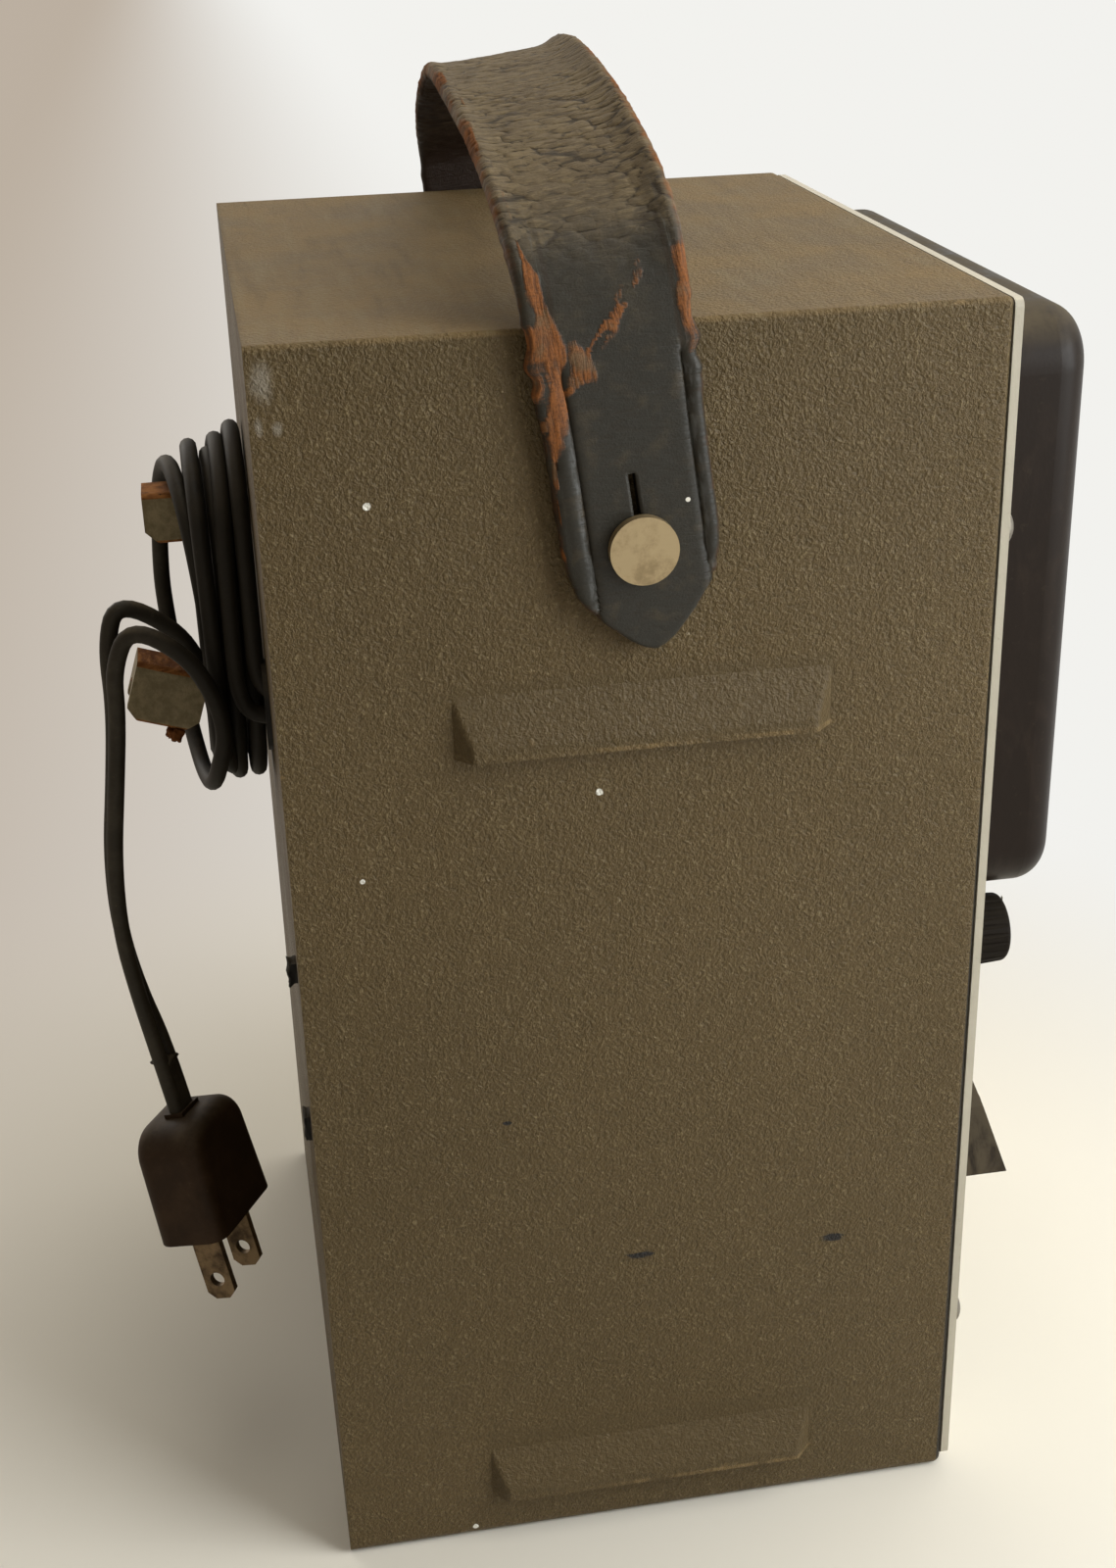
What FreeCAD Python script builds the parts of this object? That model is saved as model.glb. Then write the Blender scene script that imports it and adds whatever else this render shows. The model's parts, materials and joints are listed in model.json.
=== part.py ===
"""Portable tube tester in an upright sheet-steel case, with its mains cord wound up on the back.

Millimetres. The origin is the middle of the case's underside, +Z is up and the front panel faces -Y.
Pieces on the front panel are drawn with z out of the panel's face, then stood up and put in their place.
"""
import FreeCAD
import Part
import Sketcher

import math
import os
import re

from FreeCAD import Placement, Rotation, Vector

SIZES = {
    # Case: a folded wrap, closed by a rear pan and the front panel
    "case_width": 140.0,
    "case_depth": 121.0,
    "case_height": 238.0,
    "sheet": 1.2,
    "front_flange": 7.0,
    "front_fold": 1.5,
    "top_fold": 0.9,
    "bottom_fold": 2.4,
    "rear_flange": 9.0,
    "rear_corner": 2.5,
    # Louvers pressed outwards in both sides
    "louver_length": 65.2,
    "louver_height": 12.6,
    "louver_reach": 3.0,
    "louver_taper": 3.5,
    "louver_crown": 2.4,
    "louver_round": 1.4,
    "louver_slot": 0.6,
    "upper_louver_lip": 168.0,
    "lower_louver_lip": 10.3,
    # Front panel and its dome screws
    "panel_thickness": 1.5,
    "panel_side_gap": 0.4,
    "panel_foot_gap": 2.4,
    "panel_corner": 1.5,
    "panel_screw_inset": 4.6,
    "panel_screw_low": 37.0,
    "panel_screw_high": 199.0,
    "dome_radius": 3.3,
    "dome_height": 2.0,
    "dome_shank": 1.9,
    "dome_length": 9.0,
    "hole_gap": 0.2,
    # Clearances
    "running_fit": 0.05,
    "free_gap": 0.3,
    # Meter
    "meter_side_margin": 11.0,
    "meter_width": "=case_width - 2 * meter_side_margin",
    "meter_height": 108.0,
    "meter_low": 124.4,
    "meter_depth": 17.6,
    "meter_wall": 3.0,
    "meter_corner": 10.0,
    "meter_edge": 6.0,
    "meter_base_thickness": 2.5,
    "pivot_rise": 29.6,
    "pivot_height": "=meter_low + pivot_rise",
    "barrel_rise": 11.0,
    "barrel_height": "=pivot_height + barrel_rise",
    "barrel_radius": 32.0,
    "barrel_depth": 34.0,
    "barrel_wall": 2.5,
    "window_margin": 10.0,
    "window_width": "=meter_width - 2 * window_margin",
    "window_rise": 41.6,
    "window_low": "=meter_low + window_rise",
    "window_height": 56.0,
    "glass_lap": 2.6,
    "glass_thickness": 1.8,
    "dial_lap": 4.0,
    "dial_thickness": 0.8,
    "pivot_radius": 0.9,
    "pointer_length": 62.0,
    "pointer_tail": 9.0,
    "pointer_root": 1.6,
    "pointer_tip": 0.5,
    "pointer_thickness": 0.6,
    "pointer_lift": 2.4,
    "hub_radius": 3.0,
    "coil_width": 15.0,
    "coil_height": 6.0,
    "coil_wall": 1.6,
    "magnet_outer": 16.0,
    "magnet_inner": 10.5,
    "magnet_depth": 12.0,
    "magnet_gap": 7.0,
    "bridge_height": 8.0,
    "bridge_thickness": 2.0,
    "zero_rise": 21.6,
    "zero_height": "=meter_low + zero_rise",
    "zero_radius": 3.2,
    "zero_proud": 0.8,
    "zero_slot": 0.9,
    "terminal_pitch": 24.0,
    "terminal_rise": 30.0,
    "terminal_height": "=pivot_height + terminal_rise",
    "terminal_radius": 2.4,
    "terminal_reach": 11.0,
    # Shafts, bushings and nuts shared by the controls
    "shaft_radius": 3.175,
    "bushing_radius": 4.7,
    "bushing_reach": 4.6,
    "nut_corner": 7.0,
    "nut_thickness": 2.2,
    # Two small adjusting knobs and their controls
    "control_inset": 20.0,
    "control_side": "=case_width / 2 - control_inset",
    "control_height": 113.5,
    "control_can_radius": 11.5,
    "control_can_depth": 12.0,
    "control_bore_depth": 9.0,
    "control_knob_radius": 7.0,
    "control_knob_top_radius": 6.5,
    "control_knob_lift": 2.9,
    "control_knob_height": 8.6,
    "control_knob_socket": 6.2,
    "flute_radius": 0.55,
    "flute_count": 24,
    "lug_width": 2.0,
    "lug_length": 8.0,
    "lug_thickness": 0.8,
    "lug_pitch": 6.0,
    # Two selector knobs and their rotary switches
    "selector_inset": 25.0,
    "selector_side": "=case_width / 2 - selector_inset",
    "selector_height": 69.0,
    "selector_knob_lift": 2.9,
    "selector_knob_height": 13.6,
    "selector_tip_height": 2.9,
    "selector_tail": 12.5,
    "selector_nose": 17.0,
    "selector_width": 11.0,
    "selector_nose_width": 2.4,
    "selector_shoulder": 4.0,
    "selector_skirt_radius": 10.5,
    "selector_skirt_height": 3.4,
    "selector_socket": 9.0,
    "detent_width": 30.0,
    "detent_depth": 7.0,
    "wafer_radius": 16.5,
    "wafer_thickness": 1.6,
    "wafer_pitch": 11.0,
    "wafer_post_side": 12.5,
    "wafer_post_radius": 2.0,
    "rotor_radius": 8.0,
    # Tube sockets
    "socket_depth": 11.0,
    "socket_proud": 0.8,
    "socket_flange": 1.6,
    "socket_ear": 4.0,
    "socket_screw_gap": 4.6,
    "pin_depth": 9.0,
    "contact_width": 1.4,
    "contact_length": 7.0,
    "contact_thickness": 0.7,
    "octal_height": 82.0,
    "octal_radius": 13.4,
    "octal_circle": 8.73,
    "octal_hole": 1.4,
    "octal_key": 4.2,
    "loctal_side": 39.6,
    "loctal_height": 24.0,
    "loctal_radius": 13.4,
    "loctal_circle": 8.73,
    "loctal_hole": 0.8,
    "loctal_key": 3.4,
    "noval_height": 50.0,
    "noval_radius": 9.6,
    "noval_circle": 5.94,
    "noval_hole": 0.7,
    "noval_key": 2.0,
    "miniature_height": 20.0,
    "miniature_radius": 8.2,
    "miniature_circle": 4.76,
    "miniature_hole": 0.7,
    "miniature_key": 1.8,
    # Pilot lamp
    "pilot_height": 111.0,
    "bezel_radius": 8.0,
    "bezel_proud": 2.6,
    "bezel_proud_round": 1.2,
    "bezel_tube": 6.0,
    "bezel_reach": 9.0,
    "jewel_radius": 5.3,
    "jewel_seat": 4.3,
    "jewel_dome": 4.0,
    "lampholder_radius": 7.0,
    "lampholder_depth": 22.0,
    # Test button
    "button_inset": 19.0,
    "button_side": "=case_width / 2 - button_inset",
    "button_height": 22.0,
    "button_radius": 3.3,
    "button_proud": 9.0,
    "button_round": 1.0,
    "button_depth": 6.0,
    "button_bore_depth": 11.0,
    "test_can_radius": 6.5,
    "test_can_depth": 17.0,
    # Power toggle
    "toggle_side": 26.0,
    "toggle_height": 22.0,
    "toggle_body_width": 13.0,
    "toggle_body_height": 23.0,
    "toggle_body_depth": 15.0,
    "toggle_bore_root": 2.2,
    "toggle_bore_mouth": 3.7,
    "toggle_root_depth": 2.5,
    "lever_root": 1.3,
    "lever_tip": 2.3,
    "lever_length": 14.0,
    "lever_lean": 12.0,
    # Chassis plate behind the panel, on four pillars
    "pillar_high": 104.0,
    "pillar_high_side": 28.0,
    "pillar_low": 42.0,
    "pillar_low_side": 24.0,
    "pillar_radius": 4.0,
    "pillar_length": 46.0,
    "screw_radius": 1.5,
    "screw_head_radius": 2.8,
    "screw_head_height": 1.7,
    "screw_length": 8.0,
    "chassis_inset": 18.0,
    "chassis_width": "=case_width - 2 * chassis_inset",
    "chassis_low": 14.0,
    "chassis_high": 122.0,
    "chassis_lip": 9.0,
    # Power transformer
    "core_width": 54.0,
    "core_height": 45.0,
    "core_stack": 18.0,
    "core_level": 73.0,
    "core_leg": 18.0,
    "core_window": 9.0,
    "core_yoke": 9.0,
    "core_bolt_inset": 4.5,
    "winding_build": 8.4,
    # Strap handle on two studs
    "stud_setback": 0.8,
    "stud_drop": 35.0,
    "stud_height": "=case_height - stud_drop",
    "stud_head_radius": 5.6,
    "stud_head_height": 1.8,
    "stud_neck": 2.6,
    "stud_thread": 2.0,
    "stud_tail": 6.0,
    "stud_nut_corner": 4.6,
    "stud_nut_thickness": 2.4,
    "strap_width": 25.4,
    "strap_thickness": 3.0,
    "strap_side_gap": 0.5,
    "strap_shoulder": 6.0,
    "strap_rise": 29.0,
    "strap_lean": 7.5,
    "strap_tip": 17.4,
    "strap_tip_shoulder": 13.0,
    "strap_tip_half": 8.3,
    "strap_cheek": 8.0,
    "strap_cheek_half": 11.4,
    "slit_width": 1.2,
    "slit_length": 12.2,
    # Cord cleats on the rear pan
    "upper_cleat_height": 193.0,
    "upper_cleat_reach": 19.5,
    "upper_cleat_tall": 9.6,
    "upper_cleat_long": 13.0,
    "upper_cleat_tilt": 0.0,
    "lower_cleat_height": 157.5,
    "lower_cleat_reach": 24.5,
    "lower_cleat_tall": 12.0,
    "lower_cleat_long": 14.0,
    "lower_cleat_tilt": 18.0,
    "cleat_width": 10.0,
    "cleat_clip": 2.6,
    "cleat_corner": 1.5,
    "post_radius": 3.2,
    "cleat_screw_radius": 1.7,
    "cleat_head_radius": 3.0,
    "cleat_head_height": 1.6,
    # Mains cord: two insulated conductors, split apart
    "cord_diameter": 3.2,
    "cord_pitch": 3.65,
    "coil_turn_top": 183.5,
    "coil_turn_bottom": 162.5,
    "coil_inner_turn": 16.55,
    "coil_stand_off": 3.0,
    "exit_bend": 6.0,
    "exit_rise": 0.5,
    "exit_height": "=coil_turn_bottom + exit_rise",
    "exit_inside": 6.0,
    "first_lift": 5.6,
    "second_lift": 3.6,
    "grommet_bore": 4.9,
    "grommet_neck": 6.3,
    "grommet_lip": 8.4,
    "grommet_lip_thickness": 0.9,
    # Plug
    "plug_width": 25.0,
    "plug_thickness": 15.5,
    "plug_body_height": 24.6,
    "plug_shoulder": 7.0,
    "plug_edge": 2.0,
    "plug_neck_width": 7.4,
    "plug_neck_thickness": 4.2,
    "plug_neck_height": 0.9,
    "blade_pitch": 12.7,
    "blade_width": 6.35,
    "blade_thickness": 1.5,
    "blade_length": 15.9,
    "blade_hole": 1.6,
    "blade_hole_drop": 11.4,
    "blade_root": 6.0,
    "plug_taper": 1.5,
    "plug_crown": 3.5,
    "plug_approach": 13.6,
}

# Which way the mains plug hangs, and where the middle of its neck is
PLUG_TOP = Vector(-10.0, 85.9, 69.4)
PLUG_DOWN = Vector(-8.0, -8.5, -43.4)
PLUG_BLADE_LINE = Vector(0.905, -0.426, 0.0)

# Free route of each conductor, from the coil up over a fold and down to the plug
FIRST_ROUTE = [
    Vector(-24.1, 70.5, 176.5),
    Vector(-23.7, 81.6, 182.2),
    Vector(-20.4, 90.4, 176.5),
    Vector(-17.1, 91.4, 162.0),
    Vector(-14.9, 92.2, 146.0),
    Vector(-12.3, 92.8, 130.0),
    Vector(-9.7, 92.0, 114.0),
    Vector(-7.8, 89.4, 98.0),
]
SECOND_ROUTE = [
    Vector(-24.0, 74.2, 173.1),
    Vector(-23.6, 81.6, 176.8),
    Vector(-22.5, 87.9, 172.8),
    Vector(-20.1, 88.9, 162.0),
    Vector(-18.3, 90.4, 146.0),
    Vector(-16.1, 91.9, 130.0),
    Vector(-13.5, 92.2, 114.0),
    Vector(-11.4, 90.6, 98.0),
]

# Pin places of each tube socket: pins fitted, and places on the circle
SOCKETS = {
    "octal": (8, 8, "0"),
    "loctal": (8, 8, "-loctal_side"),
    "noval": (9, 10, "0"),
    "miniature": (7, 8, "0"),
}
SIDES = {"left": "-", "right": ""}

WORD = re.compile(r"[a-z][a-z_]+")
FULL_TURN = 360.0
HEX_SIDES = 6
CORNER_SHARE = 0.45
SAME_POINT = 0.001
VOLUME_SLACK = 0.01
GAP_STEP = 1.0
GAP_SKIP = 40
FRONTWARD = Rotation(Vector(1, 0, 0), 90)
REARWARD = Rotation(Vector(1, 0, 0), -90)
RIGHTWARD = Rotation(Vector(0, 1, 0), 90)
POINTER_REST = 42.0
LEFTWARD = Rotation(Vector(0, 1, 0), -90)
PANEL_FACE = "-(case_depth / 2 + panel_thickness)"
PANEL_BACK = "-panel_thickness"
REAR_FACE = "case_depth / 2"
COIL_LAYERS = 3
CORD_EXIT_SIDE = f"-(coil_inner_turn + {COIL_LAYERS - 1} * cord_pitch)"
GROMMET_HEIGHT = "exit_height - cord_pitch / 5"

doc = FreeCAD.newDocument("TubeTester")
sheet = doc.addObject("Spreadsheet::Sheet", "Sizes")
for row, (alias, amount) in enumerate(SIZES.items(), start=1):
    sheet.set(f"A{row}", alias.replace("_", " "))
    sheet.set(f"B{row}", str(amount))
    sheet.setAlias(f"B{row}", alias)
doc.recompute()

nodes = []


# Helpers: sizes and formulas

def size(alias):
    return float(sheet.get(alias))


def formula(text):
    return WORD.sub(lambda found: "Sizes." + found[0] if found[0] in SIZES else found[0], text)


def bind(thing, **formulas):
    for prop, text in formulas.items():
        thing.setExpression(prop, formula(text))


def place(thing, x="0", y="0", z="0", turn=Rotation()):
    thing.Placement = Placement(Vector(), turn)
    for axis, text in zip("xyz", (x, y, z)):
        thing.setExpression(f"Placement.Base.{axis}", formula(text))
    return thing


def on_panel(thing, side, height, lift="0"):
    return place(thing, side, f"{PANEL_FACE} - ({lift})", height, FRONTWARD)


def node(thing, label):
    thing.Label = label
    nodes.append(thing)
    return thing


# Helpers: primitives and booleans

def solid(kind, name, at=("0", "0", "0"), turn=Rotation(), **formulas):
    thing = doc.addObject("Part::" + kind, name)
    bind(thing, **formulas)
    return place(thing, *at, turn)


def cylinder(name, radius, height, at=("0", "0", "0"), turn=Rotation()):
    return solid("Cylinder", name, at, turn, Radius=radius, Height=height)


def box(name, width, depth, height, x, y, z):
    return solid("Box", name, (x, y, z), Length=width, Width=depth, Height=height)


def hexagon(name, corner, height):
    thing = doc.addObject("Part::Prism", name)
    thing.Polygon = HEX_SIDES
    bind(thing, Circumradius=corner, Height=height)
    return thing


def panel_rod(name, radius, length, side, height, lift):
    return on_panel(cylinder(name, radius, length), side, height, lift)


def panel_block(name, width, tall, thick, side, height, lift):
    low_x = f"{side} - ({width}) / 2"
    low_y = f"{PANEL_FACE} - ({lift}) - ({thick})"
    low_z = f"{height} - ({tall}) / 2"
    return box(name, width, thick, tall, low_x, low_y, low_z)


def fuse(name, *things):
    result = doc.addObject("Part::MultiFuse", name)
    result.Shapes = list(things)
    return result


def cut(name, base, *tools):
    result = doc.addObject("Part::Cut", name)
    result.Base = base
    result.Tool = tools[0] if len(tools) == 1 else fuse(name + "Tools", *tools)
    return result


def group(label, things):
    result = doc.addObject("Part::Compound", label)
    result.Links = things
    return node(result, label)


def rounded(name, base, radius, test):
    result = doc.addObject("Part::Fillet", name)
    doc.recompute()
    result.Base = base
    reach = size(radius)
    result.Edges = [
        (place_no, reach, reach) for place_no, edge in enumerate(base.Shape.Edges, 1) if test(edge)]
    return result


# Helpers: bodies and sketches

def new_body(name):
    return doc.addObject("PartDesign::Body", name)


def sketch(body, plane, offset="0"):
    flat = next(feature for feature in body.Origin.OriginFeatures if feature.Role == plane)
    drawing = body.newObject("Sketcher::SketchObject", body.Name + "Sketch")
    drawing.AttachmentSupport = [(flat, "")]
    drawing.MapMode = "FlatFace"
    drawing.setExpression("AttachmentOffset.Base.z", formula(offset))
    return drawing


def hold(drawing, line, end, guess, x, y):
    for kind, start, text in (("DistanceX", guess.x, x), ("DistanceY", guess.y, y)):
        index = drawing.addConstraint(Sketcher.Constraint(kind, -1, 1, line, end, start))
        drawing.setExpression(f"Constraints[{index}]", formula(text))


def outline(drawing, corners):
    first = drawing.GeometryCount
    turn = 2 * math.pi / len(corners)
    guesses = [Vector(math.cos(turn * n), math.sin(turn * n), 0) for n in range(len(corners))]
    for n, guess in enumerate(guesses):
        drawing.addGeometry(Part.LineSegment(guess, guesses[(n + 1) % len(corners)]), False)
    for n in range(len(corners)):
        after = first + (n + 1) % len(corners)
        drawing.addConstraint(Sketcher.Constraint("Coincident", first + n, 2, after, 1))
    for n, (x, y) in enumerate(corners):
        hold(drawing, first + n, 1, guesses[n], x, y)
    return drawing


def rectangle(drawing, left, low, right, high):
    return outline(drawing, [(left, low), (right, low), (right, high), (left, high)])


def circle(drawing, x, y, radius):
    index = drawing.GeometryCount
    guess = Vector(1.0 + index, 1.0, 0)
    drawing.addGeometry(Part.Circle(guess, Vector(0, 0, 1), 1.0), False)
    hold(drawing, index, 3, guess, x, y)
    ring = drawing.addConstraint(Sketcher.Constraint("Radius", index, 1.0))
    drawing.setExpression(f"Constraints[{ring}]", formula(radius))
    return drawing


def pad(body, drawing, length, backwards=False):
    feature = body.newObject("PartDesign::Pad", body.Name + "Pad")
    feature.Profile = drawing
    feature.Reversed = backwards
    bind(feature, Length=length)
    return feature


def pocket(body, drawing, length=None, backwards=False):
    feature = body.newObject("PartDesign::Pocket", body.Name + "Pocket")
    feature.Profile = drawing
    feature.Reversed = backwards
    if length is None:
        feature.Type = "ThroughAll"
    else:
        bind(feature, Length=length)
    before = feature.BaseFeature.Shape.Volume if recomputed(feature.BaseFeature) else 0
    doc.recompute()
    if not feature.Shape.Volume < before:
        raise RuntimeError(f"{feature.Label} cuts nothing")
    return feature


def recomputed(feature):
    doc.recompute()
    return not feature.Shape.isNull()


def revolve(body, drawing):
    feature = body.newObject("PartDesign::Revolution", body.Name + "Revolution")
    feature.Profile = drawing
    feature.ReferenceAxis = (drawing, ["V_Axis"])
    feature.Angle = FULL_TURN
    return feature


def fillet(body, radius, test):
    doc.recompute()
    base = body.Tip
    feature = body.newObject("PartDesign::Fillet", body.Name + "Fillet")
    names = [f"Edge{n}" for n, edge in enumerate(base.Shape.Edges, 1) if test(edge)]
    feature.Base = (base, names)
    bind(feature, Radius=radius)
    return feature


def around(body, feature, count, angle):
    doc.recompute()
    drawing = feature.Profile[0]
    pattern = body.newObject("PartDesign::PolarPattern", body.Name + "Pattern")
    pattern.Originals = [feature]
    pattern.Axis = (drawing, ["N_Axis"])
    pattern.Angle = angle
    pattern.Occurrences = int(count)
    body.Tip = pattern
    return pattern


def middle(edge):
    return edge.CenterOfMass


def runs_along(edge, axis):
    if not isinstance(edge.Curve, (Part.Line, Part.LineSegment)):
        return False
    return abs(edge.tangentAt(edge.FirstParameter).dot(axis)) > 0.999


def near(one, other):
    return abs(one - other) < 0.01


# Case wrap: sides, top and bottom of one folded sheet with a front flange and pressed louvers

def louver(side, sign, level, lip):
    outward = Rotation(Vector(0, 0, 1), -90 if sign > 0 else 90)
    parts = []
    for name, shrink, drop in (("Hood", "0", "0"), ("Hollow", "sheet", "louver_slot")):
        wedge = doc.addObject("Part::Wedge", f"{side}{level}{name}")
        half = f"(louver_length / 2 - {shrink})"
        crown_half = f"(louver_length / 2 - {shrink} - louver_taper)"
        bind(
            wedge,
            Xmin=f"-{half}", Xmax=half, X2min=f"-{crown_half}", X2max=crown_half,
            Ymin="-2 * sheet" if name == "Hollow" else "-sheet / 2",
            Ymax=f"louver_reach - {shrink}",
            Zmin=f"-({drop})", Zmax=f"louver_height - {shrink}",
            Z2min=f"-({drop})", Z2max=f"louver_crown - {shrink} / 2",
        )
        edge_x = "case_width / 2" if sign > 0 else "-case_width / 2"
        place(wedge, edge_x, "0", lip, outward)
        parts.append(wedge)
    hood, hollow = parts
    lip_height = size(lip)
    smooth = rounded(
        f"{side}{level}Round", hood, "louver_round",
        lambda edge: abs(middle(edge).x) > size("case_width") / 2 and middle(edge).z > lip_height + 0.1,
    )
    return smooth, hollow


def case_wrap():
    shell = new_body("CaseShell")
    rear = "-case_depth / 2"
    half = "case_width / 2"
    face = rectangle(sketch(shell, "XZ_Plane", rear), f"-{half}", "0", half, "case_height")
    pad(shell, face, "case_depth")
    along = Vector(0, 1, 0)
    top = size("case_height")
    fillet(shell, "top_fold", lambda edge: runs_along(edge, along) and near(middle(edge).z, top))
    fillet(shell, "bottom_fold", lambda edge: runs_along(edge, along) and near(middle(edge).z, 0))
    front = -size("case_depth") / 2
    fillet(shell, "front_fold", lambda edge: near(edge.BoundBox.YMax, front))
    inside = "(case_width / 2 - sheet)"
    hollow = rectangle(sketch(shell, "XZ_Plane", rear), f"-{inside}", "sheet", inside, "case_height - sheet")
    pocket(shell, hollow, "case_depth - sheet", backwards=True)
    clear = "(case_width / 2 - front_flange)"
    mouth = rectangle(
        sketch(shell, "XZ_Plane", rear), f"-{clear}", "front_flange", clear, "case_height - front_flange")
    pocket(shell, mouth, backwards=True)
    hoods, hollows = [], []
    for side, sign in (("Left", -1), ("Right", 1)):
        for level, lip in (("Upper", "upper_louver_lip"), ("Lower", "lower_louver_lip")):
            hood, slot = louver(side, sign, level, lip)
            hoods.append(hood)
            hollows.append(slot)
    across = ("-case_width", "stud_setback", "stud_height")
    stud_holes = cylinder("StudHoles", "stud_thread + running_fit", "case_width * 2", across, RIGHTWARD)
    tapped = [panel_rod(
        f"FlangeHole{n}", "dome_shank + running_fit", "dome_length", screw_side, height, "-dome_length")
        for n, (screw_side, height) in enumerate(panel_screw_places())]
    folded = fuse("CaseWithHoods", shell, *hoods)
    node(cut("CaseWrap", folded, *hollows, stud_holes, *tapped), "case_wrap")


# Rear pan, seated inside the wrap, with holes for the cleats and the cord

def rear_panel():
    pan = new_body("RearPan")
    inside = "(case_width / 2 - sheet)"
    face = rectangle(
        sketch(pan, "XZ_Plane", "-case_depth / 2"), f"-{inside}", "sheet", inside, "case_height - sheet")
    pad(pan, face, "rear_flange")
    fillet(pan, "rear_corner", lambda edge: runs_along(edge, Vector(0, 1, 0)))
    inner = "(case_width / 2 - 2 * sheet)"
    hollow = rectangle(
        sketch(pan, "XZ_Plane", "-(case_depth / 2 - sheet)"),
        f"-{inner}", "2 * sheet", inner, "case_height - 2 * sheet")
    pocket(pan, hollow, backwards=True)
    holes = sketch(pan, "XZ_Plane", "-case_depth / 2")
    for height in ("upper_cleat_height", "lower_cleat_height"):
        circle(holes, "0", height, "cleat_screw_radius + running_fit")
    circle(holes, CORD_EXIT_SIDE, GROMMET_HEIGHT, "grommet_neck")
    pocket(pan, holes, backwards=True)
    node(pan, "rear_panel")


# Front panel with all its holes, and the dome screws that hold it

def panel_screw_places():
    inset = "(case_width / 2 - panel_screw_inset)"
    return [(f"{sign}{inset}", height)
            for sign in ("-", "") for height in ("panel_screw_low", "panel_screw_high")]


def pillar_places():
    return [(f"{sign}{side}", height) for sign in ("-", "")
            for side, height in (("pillar_high_side", "pillar_high"), ("pillar_low_side", "pillar_low"))]


def socket_place(kind):
    return SOCKETS[kind][2], f"{kind}_height"


def bushing_places():
    places = []
    for sign in SIDES.values():
        places.append((f"{sign}control_side", "control_height"))
        places.append((f"{sign}selector_side", "selector_height"))
    return places + [("button_side", "button_height"), ("toggle_side", "toggle_height")]


def front_panel():
    panel = new_body("FrontPanel")
    half = "(case_width / 2 - panel_side_gap)"
    high = "case_height - panel_side_gap"
    face = rectangle(sketch(panel, "XZ_Plane", "case_depth / 2"), f"-{half}", "panel_foot_gap", half, high)
    pad(panel, face, "panel_thickness")
    fillet(panel, "panel_corner", lambda edge: runs_along(edge, Vector(0, 1, 0)))
    holes = sketch(panel, "XZ_Plane", "case_depth / 2 + panel_thickness")
    circle(holes, "0", "barrel_height", "barrel_radius + hole_gap")
    circle(holes, "0", "pilot_height", "bezel_tube + hole_gap")
    for side, height in bushing_places():
        circle(holes, side, height, "bushing_radius + running_fit")
    for kind in SOCKETS:
        side, height = socket_place(kind)
        circle(holes, side, height, f"{kind}_radius + hole_gap")
        for sign in ("-", "+"):
            screw_side = f"{side} {sign} ({kind}_radius + socket_screw_gap)"
            circle(holes, screw_side, height, "screw_radius + running_fit")
    for side, height in panel_screw_places():
        circle(holes, side, height, "dome_shank + running_fit")
    for side, height in pillar_places():
        circle(holes, side, height, "screw_radius + running_fit")
    pocket(panel, holes)
    node(panel, "front_panel")


def dome_profile(body):
    return outline(sketch(body, "XZ_Plane"), [
        ("0", "-dome_length"), ("dome_shank", "-dome_length"), ("dome_shank", "0"), ("dome_radius", "0"),
        ("dome_radius", "dome_height / 3"), ("dome_radius * 3 / 4", "dome_height * 4 / 5"),
        ("dome_radius / 3", "dome_height"), ("0", "dome_height"),
    ])


def panel_screws():
    screws = []
    for n, (side, height) in enumerate(panel_screw_places()):
        body = new_body(f"DomeScrew{n}")
        revolve(body, dome_profile(body))
        screws.append(on_panel(body, side, height))
    group("panel_screws", screws)


# Meter: moulded cover and base, glass, dial, and the movement in its barrel

METER_MIDDLE = "(meter_low + meter_height / 2)"


def meter_cover():
    cover = new_body("MeterCover")
    half = "meter_width / 2"
    face = rectangle(
        sketch(cover, "XY_Plane"), f"-{half}", "-meter_height / 2", half, "meter_height / 2")
    pad(cover, face, "meter_depth")
    front = size("meter_depth")
    fillet(cover, "meter_corner", lambda edge: runs_along(edge, Vector(0, 0, 1)))
    fillet(cover, "meter_edge", lambda edge: near(edge.BoundBox.ZMin, front))
    doc.recompute()
    moulding = cover.Tip
    back = next(f"Face{n}" for n, face in enumerate(moulding.Shape.Faces, 1) if near(face.BoundBox.ZMax, 0))
    shell = cover.newObject("PartDesign::Thickness", "MeterCoverShell")
    shell.Base = (moulding, [back])
    shell.Reversed = True
    bind(shell, Value="meter_wall")
    doc.recompute()
    openings = sketch(cover, "XY_Plane", "meter_depth")
    low = f"window_low - {METER_MIDDLE}"
    rectangle(openings, "-window_width / 2", low, "window_width / 2", f"{low} + window_height")
    circle(openings, "0", f"zero_height - {METER_MIDDLE}", "zero_radius + running_fit")
    pocket(cover, openings)
    node(on_panel(cover, "0", METER_MIDDLE), "meter_cover")


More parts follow.
